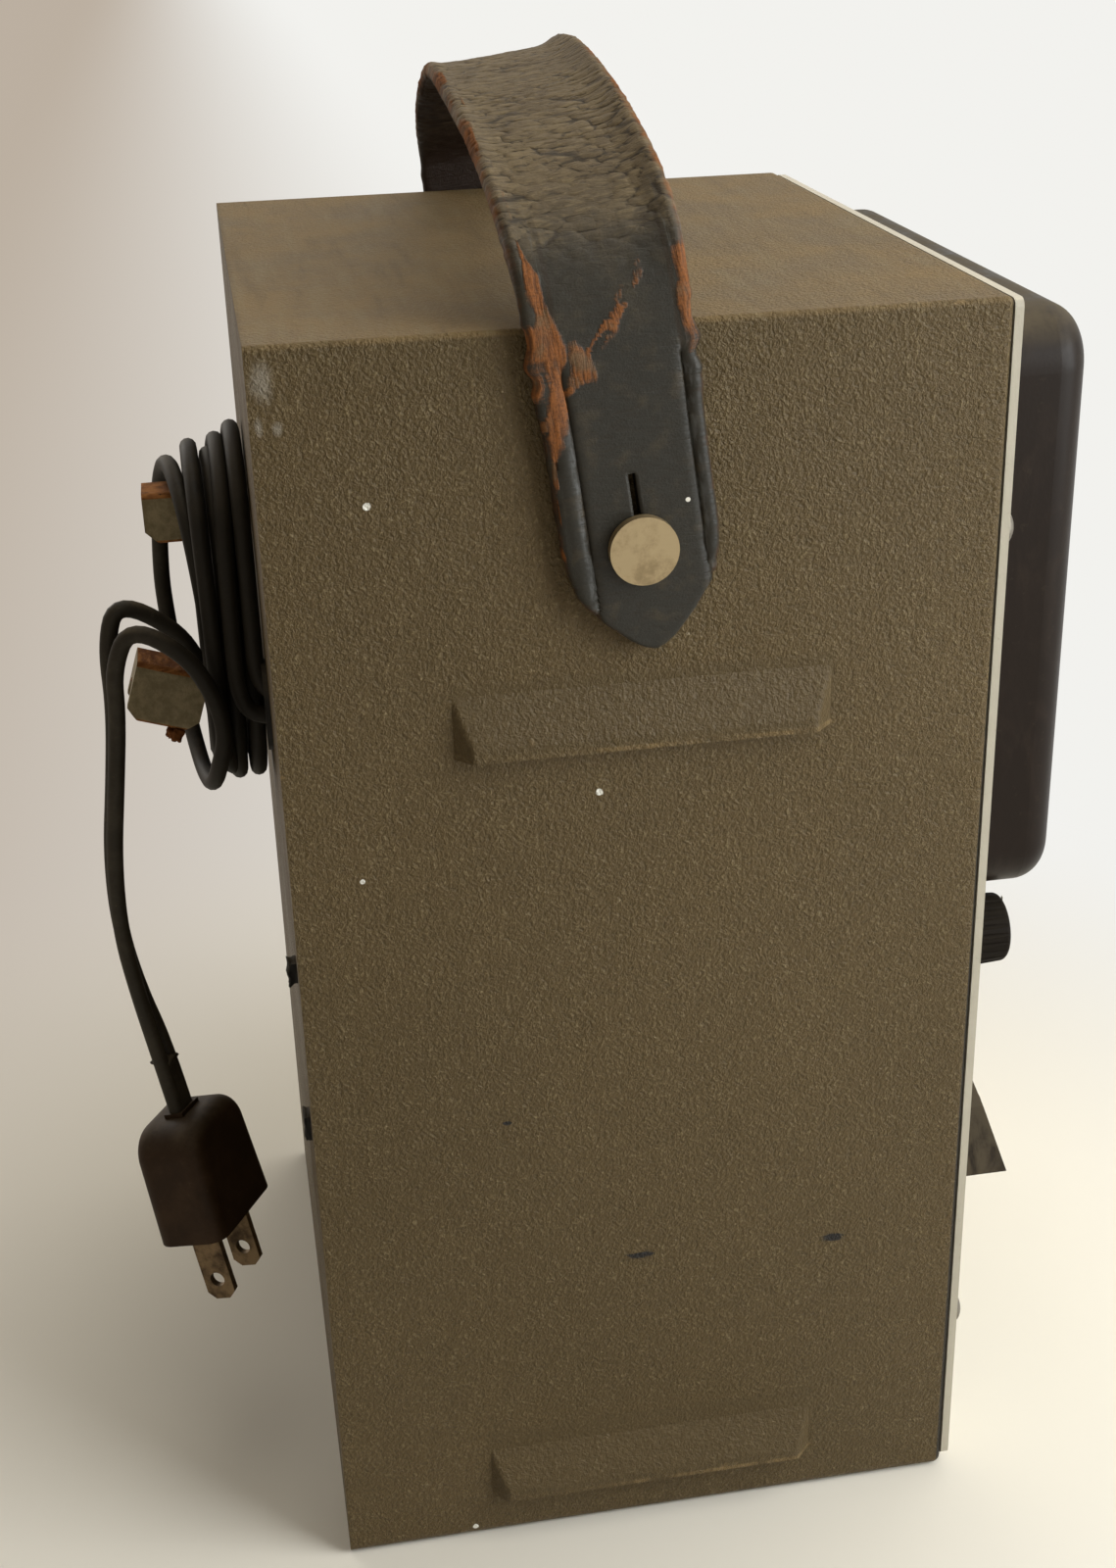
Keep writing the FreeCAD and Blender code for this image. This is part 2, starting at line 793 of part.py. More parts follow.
def meter_base():
    base = new_body("MeterBase")
    inset = "(meter_wall + free_gap)"
    half = f"(meter_width / 2 - {inset})"
    tall = f"(meter_height / 2 - {inset})"
    plate = rectangle(sketch(base, "XY_Plane"), f"-{half}", f"-{tall}", half, tall)
    pad(base, plate, "meter_base_thickness")
    fillet(base, "meter_corner - meter_wall", lambda edge: runs_along(edge, Vector(0, 0, 1)))
    drop = f"barrel_height - {METER_MIDDLE}"
    barrel = circle(sketch(base, "XY_Plane"), "0", drop, "barrel_radius")
    pad(base, barrel, "barrel_depth", backwards=True)
    bore = circle(sketch(base, "XY_Plane", "meter_base_thickness"), "0", drop, "barrel_radius - barrel_wall")
    pocket(base, bore, "meter_base_thickness + barrel_depth - barrel_wall")
    studs = sketch(base, "XY_Plane", "-barrel_depth")
    for sign in ("-", ""):
        circle(studs, f"{sign}terminal_pitch / 2", f"terminal_height - {METER_MIDDLE}", "terminal_radius")
    pocket(base, studs, backwards=True)
    node(on_panel(base, "0", METER_MIDDLE), "meter_base")


def meter_window():
    level = "(window_low + window_height / 2)"
    glass = panel_block(
        "Glass", "window_width + 2 * glass_lap", "window_height + 2 * glass_lap", "glass_thickness",
        "0", level, "meter_depth - meter_wall - glass_thickness")
    node(glass, "meter_glass")
    dial = panel_block(
        "Dial", "window_width + 2 * dial_lap", "window_height + 2 * dial_lap", "dial_thickness",
        "0", level, "meter_base_thickness")
    node(dial, "meter_dial")


MAGNET_BACK = "barrel_wall - barrel_depth"
MAGNET_FRONT = f"({MAGNET_BACK} + magnet_depth)"
BRIDGE_BACK = f"({MAGNET_FRONT} + coil_wall + 2 * free_gap)"
POINTER_LEVEL = "(meter_base_thickness + dial_thickness + pointer_lift)"


def meter_movement():
    ring = panel_rod("MagnetRing", "magnet_outer", "magnet_depth", "0", "pivot_height", MAGNET_BACK)
    bore = panel_rod("MagnetBore", "magnet_inner", "magnet_depth", "0", "pivot_height", MAGNET_BACK)
    gap = panel_block(
        "MagnetGap", "magnet_gap", "2 * magnet_outer", "magnet_depth",
        "0", "(pivot_height - magnet_outer)", MAGNET_BACK)
    arms = [panel_block(
        f"BridgeArm{n}", "bridge_height / 2", "bridge_height", f"{BRIDGE_BACK} - {MAGNET_FRONT}",
        f"{sign}((magnet_inner + magnet_outer) / 2)", "pivot_height", MAGNET_FRONT)
        for n, sign in enumerate(("-", ""))]
    magnet = cut("MagnetCut", ring, bore, gap)
    node(fuse("MeterMagnet", magnet, *arms), "meter_magnet")
    bar = panel_block(
        "BridgeBar", "2 * magnet_outer - bridge_thickness", "bridge_height", "bridge_thickness",
        "0", "pivot_height", BRIDGE_BACK)
    jewel = panel_rod(
        "BridgeHole", "pivot_radius + running_fit", "bridge_thickness", "0", "pivot_height", BRIDGE_BACK)
    node(cut("MeterBridge", bar, jewel), "meter_bridge")

    frame_back = f"({MAGNET_BACK} + free_gap)"
    frame_depth = f"({MAGNET_FRONT} + coil_wall - {frame_back})"
    frame = panel_block(
        "CoilFrame", "coil_width", "coil_height", frame_depth, "0", "pivot_height", frame_back)
    opening = panel_block(
        "CoilOpening", "coil_width - 2 * coil_wall", "2 * coil_height", f"{frame_depth} - 2 * coil_wall",
        "0", "pivot_height", f"{frame_back} + coil_wall")
    staff = panel_rod(
        "CoilStaff", "pivot_radius", f"{POINTER_LEVEL} - {frame_back} - {frame_depth}",
        "0", "pivot_height", f"{frame_back} + {frame_depth}")
    node(fuse("MeterCoil", cut("CoilLoop", frame, opening), staff), "meter_coil")

    needle = new_body("MeterNeedle")
    shape = outline(sketch(needle, "XY_Plane"), [
        ("-pointer_root / 2", "-pointer_tail"), ("pointer_root / 2", "-pointer_tail"),
        ("pointer_tip / 2", "pointer_length"), ("-pointer_tip / 2", "pointer_length"),
    ])
    pad(needle, shape, "pointer_thickness")
    hub = circle(sketch(needle, "XY_Plane"), "0", "0", "hub_radius")
    pad(needle, hub, "3 * pointer_thickness")
    on_panel(needle, "0", "pivot_height", POINTER_LEVEL)
    needle.Placement.Rotation = FRONTWARD * Rotation(Vector(0, 0, 1), POINTER_REST)
    node(needle, "meter_pointer")

    head = panel_rod(
        "ZeroHead", "zero_radius", "meter_wall + zero_proud", "0", "zero_height", "meter_depth - meter_wall")
    slot = panel_block(
        "ZeroSlot", "2 * zero_radius", "zero_slot", "zero_proud", "0", "zero_height", "meter_depth")
    node(cut("ZeroScrew", head, slot), "zero_screw")

    studs = []
    for n, sign in enumerate(("-", "")):
        side = f"{sign}terminal_pitch / 2"
        stud = panel_rod(
            f"Terminal{n}", "terminal_radius - running_fit", "terminal_reach + 2 * barrel_wall", side,
            "terminal_height", "-(barrel_depth + terminal_reach)")
        nut = on_panel(
            hexagon(f"TerminalNut{n}", "2 * terminal_radius", "terminal_radius"), side, "terminal_height",
            "-(barrel_depth + terminal_radius)")
        studs.append(fuse(f"TerminalStud{n}", stud, nut))
    group("meter_terminals", studs)


# Adjusting controls: can, bushing and lugs, a shaft and a fluted knob

def control(side, sign):
    place_x = f"{sign}control_side"
    back = "-(panel_thickness + control_can_depth)"
    can = panel_rod(f"{side}Can", "control_can_radius", "control_can_depth", place_x, "control_height", back)
    neck = panel_rod(
        f"{side}Neck", "bushing_radius", "panel_thickness + bushing_reach",
        place_x, "control_height", PANEL_BACK)
    lugs = [panel_block(
        f"{side}Lug{n}", "lug_width", "lug_length", "lug_thickness", f"{place_x} + ({n}) * lug_pitch",
        "(control_height - control_can_radius)", "-(panel_thickness + control_can_depth / 2)")
        for n in (-1, 0, 1)]
    bore = panel_rod(
        f"{side}Bore", "shaft_radius + running_fit", "control_bore_depth + 2 * bushing_reach",
        place_x, "control_height", "-control_bore_depth")
    node(cut(f"{side}Control", fuse(f"{side}ControlBody", can, neck, *lugs), bore), f"{side}_control")
    shaft = panel_rod(
        f"{side}Shaft", "shaft_radius",
        "control_bore_depth - free_gap + control_knob_lift + control_knob_socket - free_gap",
        place_x, "control_height", "free_gap - control_bore_depth")
    node(shaft, f"{side}_control_shaft")

    knob = new_body(f"{side}Knob")
    revolve(knob, outline(sketch(knob, "XZ_Plane"), [
        ("0", "0"), ("control_knob_radius", "0"),
        ("control_knob_top_radius", "control_knob_height"), ("0", "control_knob_height"),
    ]))
    top = size("control_knob_height")
    fillet(knob, "flute_radius * 2", lambda edge: near(edge.BoundBox.ZMin, top))
    socket = circle(sketch(knob, "XY_Plane"), "0", "0", "shaft_radius + running_fit")
    pocket(knob, socket, "control_knob_socket", backwards=True)
    recess = circle(sketch(knob, "XY_Plane"), "0", "0", "bushing_radius + free_gap")
    pocket(knob, recess, "bushing_reach - control_knob_lift + free_gap", backwards=True)
    flute = circle(sketch(knob, "XY_Plane"), "control_knob_radius", "0", "flute_radius")
    groove = pocket(knob, flute, backwards=True)
    around(knob, groove, int(size("flute_count")), FULL_TURN)
    node(on_panel(knob, place_x, "control_height", "control_knob_lift"), f"{side}_control_knob")


# Selectors: detent plate, two wafers on posts, a shaft with rotors and a bar knob

def selector(side, sign):
    place_x = f"{sign}selector_side"
    detent_back = "-(panel_thickness + detent_depth)"
    plate = panel_block(
        f"{side}Detent", "detent_width", "detent_width", "detent_depth",
        place_x, "selector_height", detent_back)
    neck = panel_rod(
        f"{side}SelectorNeck", "bushing_radius", "panel_thickness + bushing_reach",
        place_x, "selector_height", PANEL_BACK)
    pieces = [plate, neck]
    for n in (1, 2):
        wafer_back = f"-(panel_thickness + detent_depth + {n} * wafer_pitch)"
        pieces.append(panel_rod(
            f"{side}Wafer{n}", "wafer_radius", "wafer_thickness", place_x, "selector_height", wafer_back))
    for n, post in enumerate(("-", "+")):
        pieces.append(panel_rod(
            f"{side}Post{n}", "wafer_post_radius", "2 * wafer_pitch + wafer_thickness",
            f"{place_x} {post} wafer_post_side", "selector_height",
            "-(panel_thickness + detent_depth + 2 * wafer_pitch)"))
    depth = "(panel_thickness + detent_depth + 2 * wafer_pitch)"
    bore = panel_rod(
        f"{side}SelectorBore", "shaft_radius + running_fit", f"2 * {depth} + 2 * bushing_reach",
        place_x, "selector_height", f"-2 * {depth}")
    node(cut(f"{side}Selector", fuse(f"{side}SelectorBody", *pieces), bore), f"{side}_selector_switch")

    rod = panel_rod(
        f"{side}Spindle", "shaft_radius", f"{depth} + selector_knob_lift + selector_socket",
        place_x, "selector_height", f"-({depth} + free_gap)")
    rotors = [panel_rod(
        f"{side}Rotor{n}", "rotor_radius", "wafer_thickness", place_x, "selector_height",
        f"free_gap - (panel_thickness + detent_depth + {n} * wafer_pitch) + wafer_thickness")
        for n in (1, 2)]
    node(fuse(f"{side}SelectorShaft", rod, *rotors), f"{side}_selector_shaft")

    knob = new_body(f"{side}Bar")
    half = "selector_width / 2"
    nose = "selector_nose_width / 2"
    bar = outline(sketch(knob, "XY_Plane"), [
        (f"-{half}", "-selector_tail"), (half, "-selector_tail"), (half, "selector_shoulder"),
        (nose, "selector_nose"), (f"-{nose}", "selector_nose"), (f"-{half}", "selector_shoulder"),
    ])
    pad(knob, bar, "selector_knob_height")
    slope = outline(sketch(knob, "YZ_Plane", "-selector_width"), [
        ("-selector_tail", "selector_knob_height"), ("selector_nose", "selector_tip_height"),
        ("2 * selector_nose", "selector_tip_height"), ("2 * selector_nose", "2 * selector_knob_height"),
        ("-selector_tail", "2 * selector_knob_height"),
    ])
    pocket(knob, slope, "2 * selector_width", backwards=True)
    skirt = circle(sketch(knob, "XY_Plane"), "0", "0", "selector_skirt_radius")
    pad(knob, skirt, "selector_skirt_height")
    socket = circle(sketch(knob, "XY_Plane"), "0", "0", "shaft_radius + running_fit")
    pocket(knob, socket, "selector_socket + free_gap", backwards=True)
    recess = circle(sketch(knob, "XY_Plane"), "0", "0", "bushing_radius + free_gap")
    pocket(knob, recess, "bushing_reach - selector_knob_lift + free_gap", backwards=True)
    node(on_panel(knob, place_x, "selector_height", "selector_knob_lift"), f"{side}_selector_knob")


def bushing_nuts():
    nuts = []
    for n, (side, height) in enumerate(bushing_places()):
        nut = on_panel(hexagon(f"Nut{n}", "nut_corner", "nut_thickness"), side, height)
        hole = panel_rod(f"NutHole{n}", "bushing_radius + running_fit", "nut_thickness", side, height, "0")
        nuts.append(cut(f"BushingNut{n}", nut, hole))
    group("bushing_nuts", nuts)


# Tube sockets, their screws and their solder contacts

def socket(kind):
    pins, places, _ = SOCKETS[kind]
    radius = f"{kind}_radius"
    side, height = socket_place(kind)
    body = new_body(f"{kind.title()}Socket")
    barrel = circle(sketch(body, "XY_Plane", "socket_proud"), "0", "0", radius)
    pad(body, barrel, "socket_proud + socket_depth", True)
    ear = f"({radius} + socket_screw_gap + socket_ear)"
    waist = f"({radius} * 2 / 3)"
    flange = outline(sketch(body, "XY_Plane", PANEL_BACK), [
        (f"-{ear}", "-socket_ear"), (f"-{waist}", f"-{radius}"), (waist, f"-{radius}"), (ear, "-socket_ear"),
        (ear, "socket_ear"), (waist, radius), (f"-{waist}", radius), (f"-{ear}", "socket_ear"),
    ])
    pad(body, flange, "socket_flange", True)
    holes = sketch(body, "XY_Plane", "socket_proud")
    circle(holes, "0", "0", f"{kind}_key")
    pocket(body, holes, "pin_depth")
    ears = sketch(body, "XY_Plane")
    for sign in ("-", ""):
        circle(ears, f"{sign}({radius} + socket_screw_gap)", "0", "screw_radius + running_fit")
    pocket(body, ears)
    pin_hole = circle(sketch(body, "XY_Plane", "socket_proud"), "0", f"{kind}_circle", f"{kind}_hole")
    pin = pocket(body, pin_hole, "pin_depth")
    step = FULL_TURN / places
    around(body, pin, pins, FULL_TURN if pins == places else step * (pins - 1))
    node(on_panel(body, side, height), f"{kind}_socket")


def socket_screws():
    screws = []
    for kind in SOCKETS:
        side, height = socket_place(kind)
        for sign in ("-", "+"):
            screw_side = f"{side} {sign} ({kind}_radius + socket_screw_gap)"
            screws.append(small_screw(f"{kind}Screw{len(screws)}", screw_side, height))
    group("socket_screws", screws)


def small_screw(name, side, height, lift="0", backwards=False):
    head_lift = lift if not backwards else f"{lift} - screw_head_height"
    shank_lift = f"{lift} - screw_length" if not backwards else lift
    head = panel_rod(name + "Head", "screw_head_radius", "screw_head_height", side, height, head_lift)
    shank = panel_rod(name + "Shank", "screw_radius", "screw_length", side, height, shank_lift)
    return fuse(name, head, shank)


def socket_contacts():
    contacts = []
    for kind, (pins, places, _) in SOCKETS.items():
        side, height = socket_place(kind)
        for n in range(int(pins)):
            angle = 90 + FULL_TURN / places * n
            contacts.append(panel_block(
                f"{kind}Contact{n}", "contact_width", "contact_thickness", "contact_length",
                f"{side} + {kind}_circle * cos({angle})", f"({height} + {kind}_circle * sin({angle}))",
                "-(socket_depth + contact_length)"))
    group("socket_contacts", contacts)


# Pilot lamp: bezel, jewel and lampholder

def pilot_lamp():
    flange = panel_rod("BezelFlange", "bezel_radius", "bezel_proud", "0", "pilot_height", "0")
    brow = -size("case_depth") / 2 - size("panel_thickness") - size("bezel_proud")
    rim = rounded("BezelRim", flange, "bezel_proud_round", lambda edge: near(middle(edge).y, brow))
    tube = panel_rod("BezelTube", "bezel_tube", "bezel_reach", "0", "pilot_height", "-bezel_reach")
    seat = panel_rod("BezelSeat", "jewel_radius + running_fit", "bezel_proud", "0", "pilot_height", "0")
    light = panel_rod("BezelBore", "jewel_seat", "2 * bezel_reach", "0", "pilot_height", "-bezel_reach")
    node(cut("PilotBezel", fuse("BezelBody", rim, tube), seat, light), "pilot_bezel")
    jewel = new_body("PilotJewel")
    revolve(jewel, outline(sketch(jewel, "XZ_Plane"), [
        ("0", "0"), ("jewel_radius", "0"), ("jewel_radius", "bezel_proud"),
        ("jewel_radius * 3 / 4", "bezel_proud + jewel_dome * 3 / 4"), ("0", "bezel_proud + jewel_dome"),
    ]))
    node(on_panel(jewel, "0", "pilot_height"), "pilot_jewel")
    holder = panel_rod(
        "Lampholder", "lampholder_radius", "lampholder_depth", "0", "pilot_height",
        "-(bezel_reach + lampholder_depth)")
    node(holder, "pilot_lampholder")


# Test button and power toggle

def test_button():
    can = panel_rod(
        "TestCan", "test_can_radius", "test_can_depth", "button_side", "button_height",
        "-(panel_thickness + test_can_depth)")
    neck = panel_rod(
        "TestNeck", "bushing_radius", "panel_thickness + bushing_reach",
        "button_side", "button_height", PANEL_BACK)
    bore = panel_rod(
        "TestBore", "button_radius + running_fit", "button_bore_depth + 2 * bushing_reach",
        "button_side", "button_height", "-button_bore_depth")
    node(cut("TestSwitch", fuse("TestSwitchBody", can, neck), bore), "test_switch")
    button = panel_rod(
        "Button", "button_radius", "button_proud + button_depth",
        "button_side", "button_height", "-button_depth")
    tip = -size("case_depth") / 2 - size("panel_thickness") - size("button_proud")
    crown = rounded("ButtonRound", button, "button_round", lambda edge: near(middle(edge).y, tip))
    node(crown, "test_button")


def power_toggle():
    body = panel_block(
        "ToggleBody", "toggle_body_width", "toggle_body_height", "toggle_body_depth",
        "toggle_side", "toggle_height", "-(panel_thickness + toggle_body_depth)")
    neck = panel_rod(
        "ToggleNeck", "bushing_radius", "panel_thickness + bushing_reach",
        "toggle_side", "toggle_height", PANEL_BACK)
    bore = solid(
        "Cone", "ToggleBore", Radius1="toggle_bore_root", Radius2="toggle_bore_mouth",
        Height="toggle_root_depth + bushing_reach")
    on_panel(bore, "toggle_side", "toggle_height", "-toggle_root_depth")
    node(cut("ToggleSwitch", fuse("ToggleSwitchBody", body, neck), bore), "toggle_switch")
    lever = new_body("ToggleLever")
    revolve(lever, outline(sketch(lever, "XZ_Plane"), [
        ("0", "-lever_root"), ("lever_root", "0"), ("lever_tip", "lever_length - lever_tip"),
        ("lever_tip * 2 / 3", "lever_length - lever_tip / 4"), ("0", "lever_length"),
    ]))
    on_panel(lever, "toggle_side", "toggle_height")
    lever.Placement.Rotation = Rotation(Vector(1, 0, 0), size("lever_lean")) * FRONTWARD
    node(lever, "toggle_lever")


# Chassis plate on pillars, with the power transformer behind it

CHASSIS_FRONT = "-(panel_thickness + pillar_length)"
CHASSIS_BACK = f"({CHASSIS_FRONT} - sheet)"
CORE_BACK = f"({CHASSIS_BACK} - core_stack)"


def core_bolt_places():
    wide = "(core_width / 2 - core_bolt_inset)"
    tall = "(core_height / 2 - core_bolt_inset)"
    return [(f"{sign}{wide}", f"(core_level {lift} {tall})") for sign in ("-", "") for lift in ("-", "+")]


def chassis():
    level = "((chassis_low + chassis_high) / 2)"
    tall = "(chassis_high - chassis_low)"
    plate = panel_block("ChassisSheet", "chassis_width", tall, "sheet", "0", level, CHASSIS_BACK)
    lips = [panel_block(
        f"ChassisLip{n}", "sheet", tall, "chassis_lip", f"{sign} (chassis_width - sheet) / 2", level,
        f"{CHASSIS_FRONT} - chassis_lip") for n, sign in enumerate(("-", "+"))]
    holes = [panel_rod(
        f"ChassisHole{n}", "screw_radius + running_fit", "3 * sheet", side, height, f"{CHASSIS_BACK} - sheet")
        for n, (side, height) in enumerate(pillar_places() + core_bolt_places())]
    node(cut("ChassisPlate", fuse("ChassisFold", plate, *lips), *holes), "chassis_plate")
    pillars, screws = [], []
    for n, (side, height) in enumerate(pillar_places()):
        post = on_panel(hexagon(f"Pillar{n}", "pillar_radius", "pillar_length"), side, height, CHASSIS_FRONT)
        ends = [panel_rod(
            f"PillarTap{n}{end}", "screw_radius + running_fit", "screw_length", side, height, lift)
            for end, lift in enumerate((CHASSIS_FRONT, f"{PANEL_BACK} - screw_length"))]
        pillars.append(cut(f"PillarCut{n}", post, *ends))
        screws.append(small_screw(f"PillarFront{n}", side, height))
        screws.append(small_screw(f"PillarBack{n}", side, height, CHASSIS_BACK, backwards=True))
    group("chassis_pillars", pillars)
    group("chassis_screws", screws)


def transformer():
    block = panel_block("CoreBlock", "core_width", "core_height", "core_stack", "0", "core_level", CORE_BACK)
    windows = [panel_block(
        f"CoreWindow{n}", "core_window", "core_height - 2 * core_yoke", "core_stack",
        f"{sign} (core_leg + core_window) / 2", "core_level", CORE_BACK) for n, sign in enumerate(("-", "+"))]
    bolts = [panel_rod(
        f"CoreHole{n}", "screw_radius + running_fit", "core_stack", side, height, CORE_BACK)
        for n, (side, height) in enumerate(core_bolt_places())]
    node(cut("TransformerCore", block, *windows, *bolts), "transformer_core")
    tall = "(core_height - 2 * core_yoke - 2 * free_gap)"
    wound = panel_block(
        "WindingBlock", "core_leg + 2 * winding_build", tall, "core_stack + winding_build",
        "0", "core_level", f"{CORE_BACK} - winding_build")
    leg = panel_block(
        "WindingHole", "core_leg + 2 * running_fit", "core_height", "core_stack + running_fit",
        "0", "core_level", f"{CORE_BACK} - running_fit")
    node(cut("TransformerWinding", wound, leg), "transformer_winding")
    screws = []
    for n, (side, height) in enumerate(core_bolt_places()):
        shank = panel_rod(
            f"CoreBolt{n}", "screw_radius", "core_stack + 4 * sheet", side, height, CORE_BACK)
        head = panel_rod(
            f"CoreBoltHead{n}", "screw_head_radius", "screw_head_height", side, height,
            f"{CORE_BACK} - screw_head_height")
        nut = on_panel(
            hexagon(f"CoreBoltNut{n}", "screw_head_radius", "screw_head_height"), side, height, CHASSIS_FRONT)
        screws.append(fuse(f"CoreScrew{n}", shank, head, nut))
    group("transformer_bolts", screws)


# Strap handle: two pointed ends on studs and an arch over the top

STRAP_SHOULDER = "(case_height + strap_shoulder - stud_height)"
STRAP_INNER = "(case_width / 2 + strap_side_gap)"


def ellipse_block(name, wide, rise, thick):
    ring = doc.addObject("Part::Ellipse", name + "Line")
    bind(ring, MajorRadius=wide, MinorRadius=rise)
    place(ring, z=STRAP_SHOULDER, turn=FRONTWARD)
    block = doc.addObject("Part::Extrusion", name)
    block.Base = ring
    block.DirMode = "Normal"
    block.Symmetric = True
    block.Solid = True
    bind(block, LengthFwd=thick)
    return block


def handle_strap():
    outer = ellipse_block("ArchOuter", f"{STRAP_INNER} + strap_thickness", "strap_rise", "strap_width")
    inner = ellipse_block("ArchInner", STRAP_INNER, "strap_rise - strap_thickness", "2 * strap_width")
    below = box(
        "ArchBelow", "2 * case_width", "2 * strap_width", "case_height",
        "-case_width", "-strap_width", f"{STRAP_SHOULDER} - case_height")
    pieces = [cut("Arch", outer, inner, below)]
    half = "strap_width / 2"
    holes = []
    for side, sign in (("Left", "-"), ("Right", "")):
        tab = new_body(f"{side}Tab")
        start = f"-({STRAP_INNER} + strap_thickness)" if sign else STRAP_INNER
        shape = outline(sketch(tab, "YZ_Plane", start), [
            (half, STRAP_SHOULDER), (f"-{half}", STRAP_SHOULDER), (f"-{half}", "-strap_cheek / 4"),
            ("-strap_cheek_half", "-strap_cheek"), ("-strap_tip_half", "-strap_tip_shoulder"),
            ("0", "-strap_tip"),
            ("strap_tip_half", "-strap_tip_shoulder"), ("strap_cheek_half", "-strap_cheek"),
            (half, "-strap_cheek / 4"),
        ])
        pad(tab, shape, "strap_thickness")
        pieces.append(tab)
        low_x = "-case_width" if sign else "0"
        holes.append(box(
            f"{side}Slit", "case_width", "slit_width", "slit_length", low_x, "-slit_width / 2", "0"))
    holes.append(cylinder(
        "StrapHoles", "stud_neck + running_fit", "2 * case_width", ("-case_width", "0", "0"), RIGHTWARD))
    strap = cut("HandleStrap", fuse("StrapBand", *pieces), *holes)
    place(strap, "0", "stud_setback", "stud_height", Rotation(Vector(1, 0, 0), -size("strap_lean")))
    node(strap, "handle_strap")


def strap_studs():
    studs, nuts = [], []
    seat = f"({STRAP_INNER} - case_width / 2 + strap_thickness + free_gap)"
    for side, turn, sign in (("Left", LEFTWARD, "-"), ("Right", RIGHTWARD, "")):
        stud = new_body(f"{side}Stud")
        inner = "-(sheet + stud_tail)"
        revolve(stud, outline(sketch(stud, "XZ_Plane"), [
            ("0", inner), ("stud_thread", inner), ("stud_thread", "0"), ("stud_neck", "0"),
            ("stud_neck", seat), ("stud_head_radius", seat),
            ("stud_head_radius", f"{seat} + stud_head_height"),
            ("0", f"{seat} + stud_head_height"),
        ]))
        spot = (f"{sign}case_width / 2", "stud_setback", "stud_height")
        studs.append(place(stud, *spot, turn))
        inside = (f"{sign}(case_width / 2 - sheet - stud_nut_thickness)", "stud_setback", "stud_height")
        nut = place(hexagon(f"{side}StudNut", "stud_nut_corner", "stud_nut_thickness"), *inside, turn)
        hole = cylinder(f"{side}StudNutHole", "stud_thread + running_fit", "stud_nut_thickness", inside, turn)
        nuts.append(cut(f"{side}StudNutCut", nut, hole))
    group("strap_studs", studs)
    group("stud_nuts", nuts)


# Cord cleats: heads on posts, screwed to the rear pan. The lower head is knocked askew on its screw

def rear_rod(name, radius, length, height, start):
    return cylinder(name, radius, length, ("0", f"{REAR_FACE} + {start}", height), REARWARD)


def cord_cleats():
    posts, screws = [], []
    for level in ("upper", "lower"):
        height = f"{level}_cleat_height"
        long, tilt = f"{level}_cleat_long", f"{level}_cleat_tilt"
        root = f"({level}_cleat_reach - {long})"
        rise = f"({long} / 2 * sin({tilt}))"
        stand = f"({root} + (post_radius + {rise}) * tan({tilt}))"
        brink = f"({stand} + {long} * cos({tilt}) - tan({tilt}) * (cleat_head_radius - {rise}))"
        seat = f"({brink} - cleat_head_height)"
        head = new_body(f"{level.title()}CleatHead")
        low, high = f"-{level}_cleat_tall / 2", f"{level}_cleat_tall / 2"
        shape = outline(sketch(head, "YZ_Plane", "-cleat_width / 2"), [
            ("0", high), ("0", f"{low} + cleat_clip"), ("cleat_clip", low), (f"{long} - cleat_clip", low),
            (long, f"{low} + cleat_clip"), (long, high),
        ])
        pad(head, shape, "cleat_width")
        fillet(head, "cleat_corner", lambda edge: runs_along(edge, Vector(0, 1, 0)))
        askew = Rotation(Vector(1, 0, 0), size(tilt))
        place(head, "0", f"{REAR_FACE} + {stand}", f"{height} - {rise}", askew)
        hole = rear_rod(f"{level}CleatHole", "cleat_screw_radius + running_fit", seat, height, "0")
        sink = rear_rod(f"{level}CleatSink", "cleat_head_radius + running_fit", long, height, seat)
        node(cut(f"{level.title()}Cleat", head, hole, sink), f"{level}_cleat")
        tube = rear_rod(f"{level}Post", "post_radius", root, height, "0")
        bore = rear_rod(f"{level}PostBore", "cleat_screw_radius + running_fit", root, height, "0")
        posts.append(cut(f"{level}PostCut", tube, bore))
        shank = rear_rod(
            f"{level}CleatShank", "cleat_screw_radius", f"{seat} + 4 * sheet", height, "-4 * sheet")
        button = rear_rod(
            f"{level}CleatButton", "cleat_head_radius", "cleat_head_height", height, seat)
        nut = place(
            hexagon(f"{level}CleatNut", "cleat_head_radius", "2 * sheet"),
            "0", f"{REAR_FACE} - 3 * sheet", height, REARWARD)
        screws.append(fuse(f"{level}CleatScrew", shank, button, nut))
    group("cleat_posts", posts)
    group("cleat_screws", screws)


def cord_grommet():
    ring = new_body("Grommet")
    front, lip = "grommet_lip_thickness", "-(sheet + grommet_lip_thickness)"
    revolve(ring, outline(sketch(ring, "XZ_Plane"), [
        ("grommet_bore", lip), ("grommet_lip", lip), ("grommet_lip", "-sheet"), ("grommet_neck", "-sheet"),
        ("grommet_neck", "0"), ("grommet_lip", "0"), ("grommet_lip", front), ("grommet_bore", front),
    ]))
    place(ring, CORD_EXIT_SIDE, REAR_FACE, GROMMET_HEIGHT, REARWARD)
    node(ring, "cord_grommet")


# Mains cord: each conductor leaves the grommet, winds round the cleats and hangs down to the plug

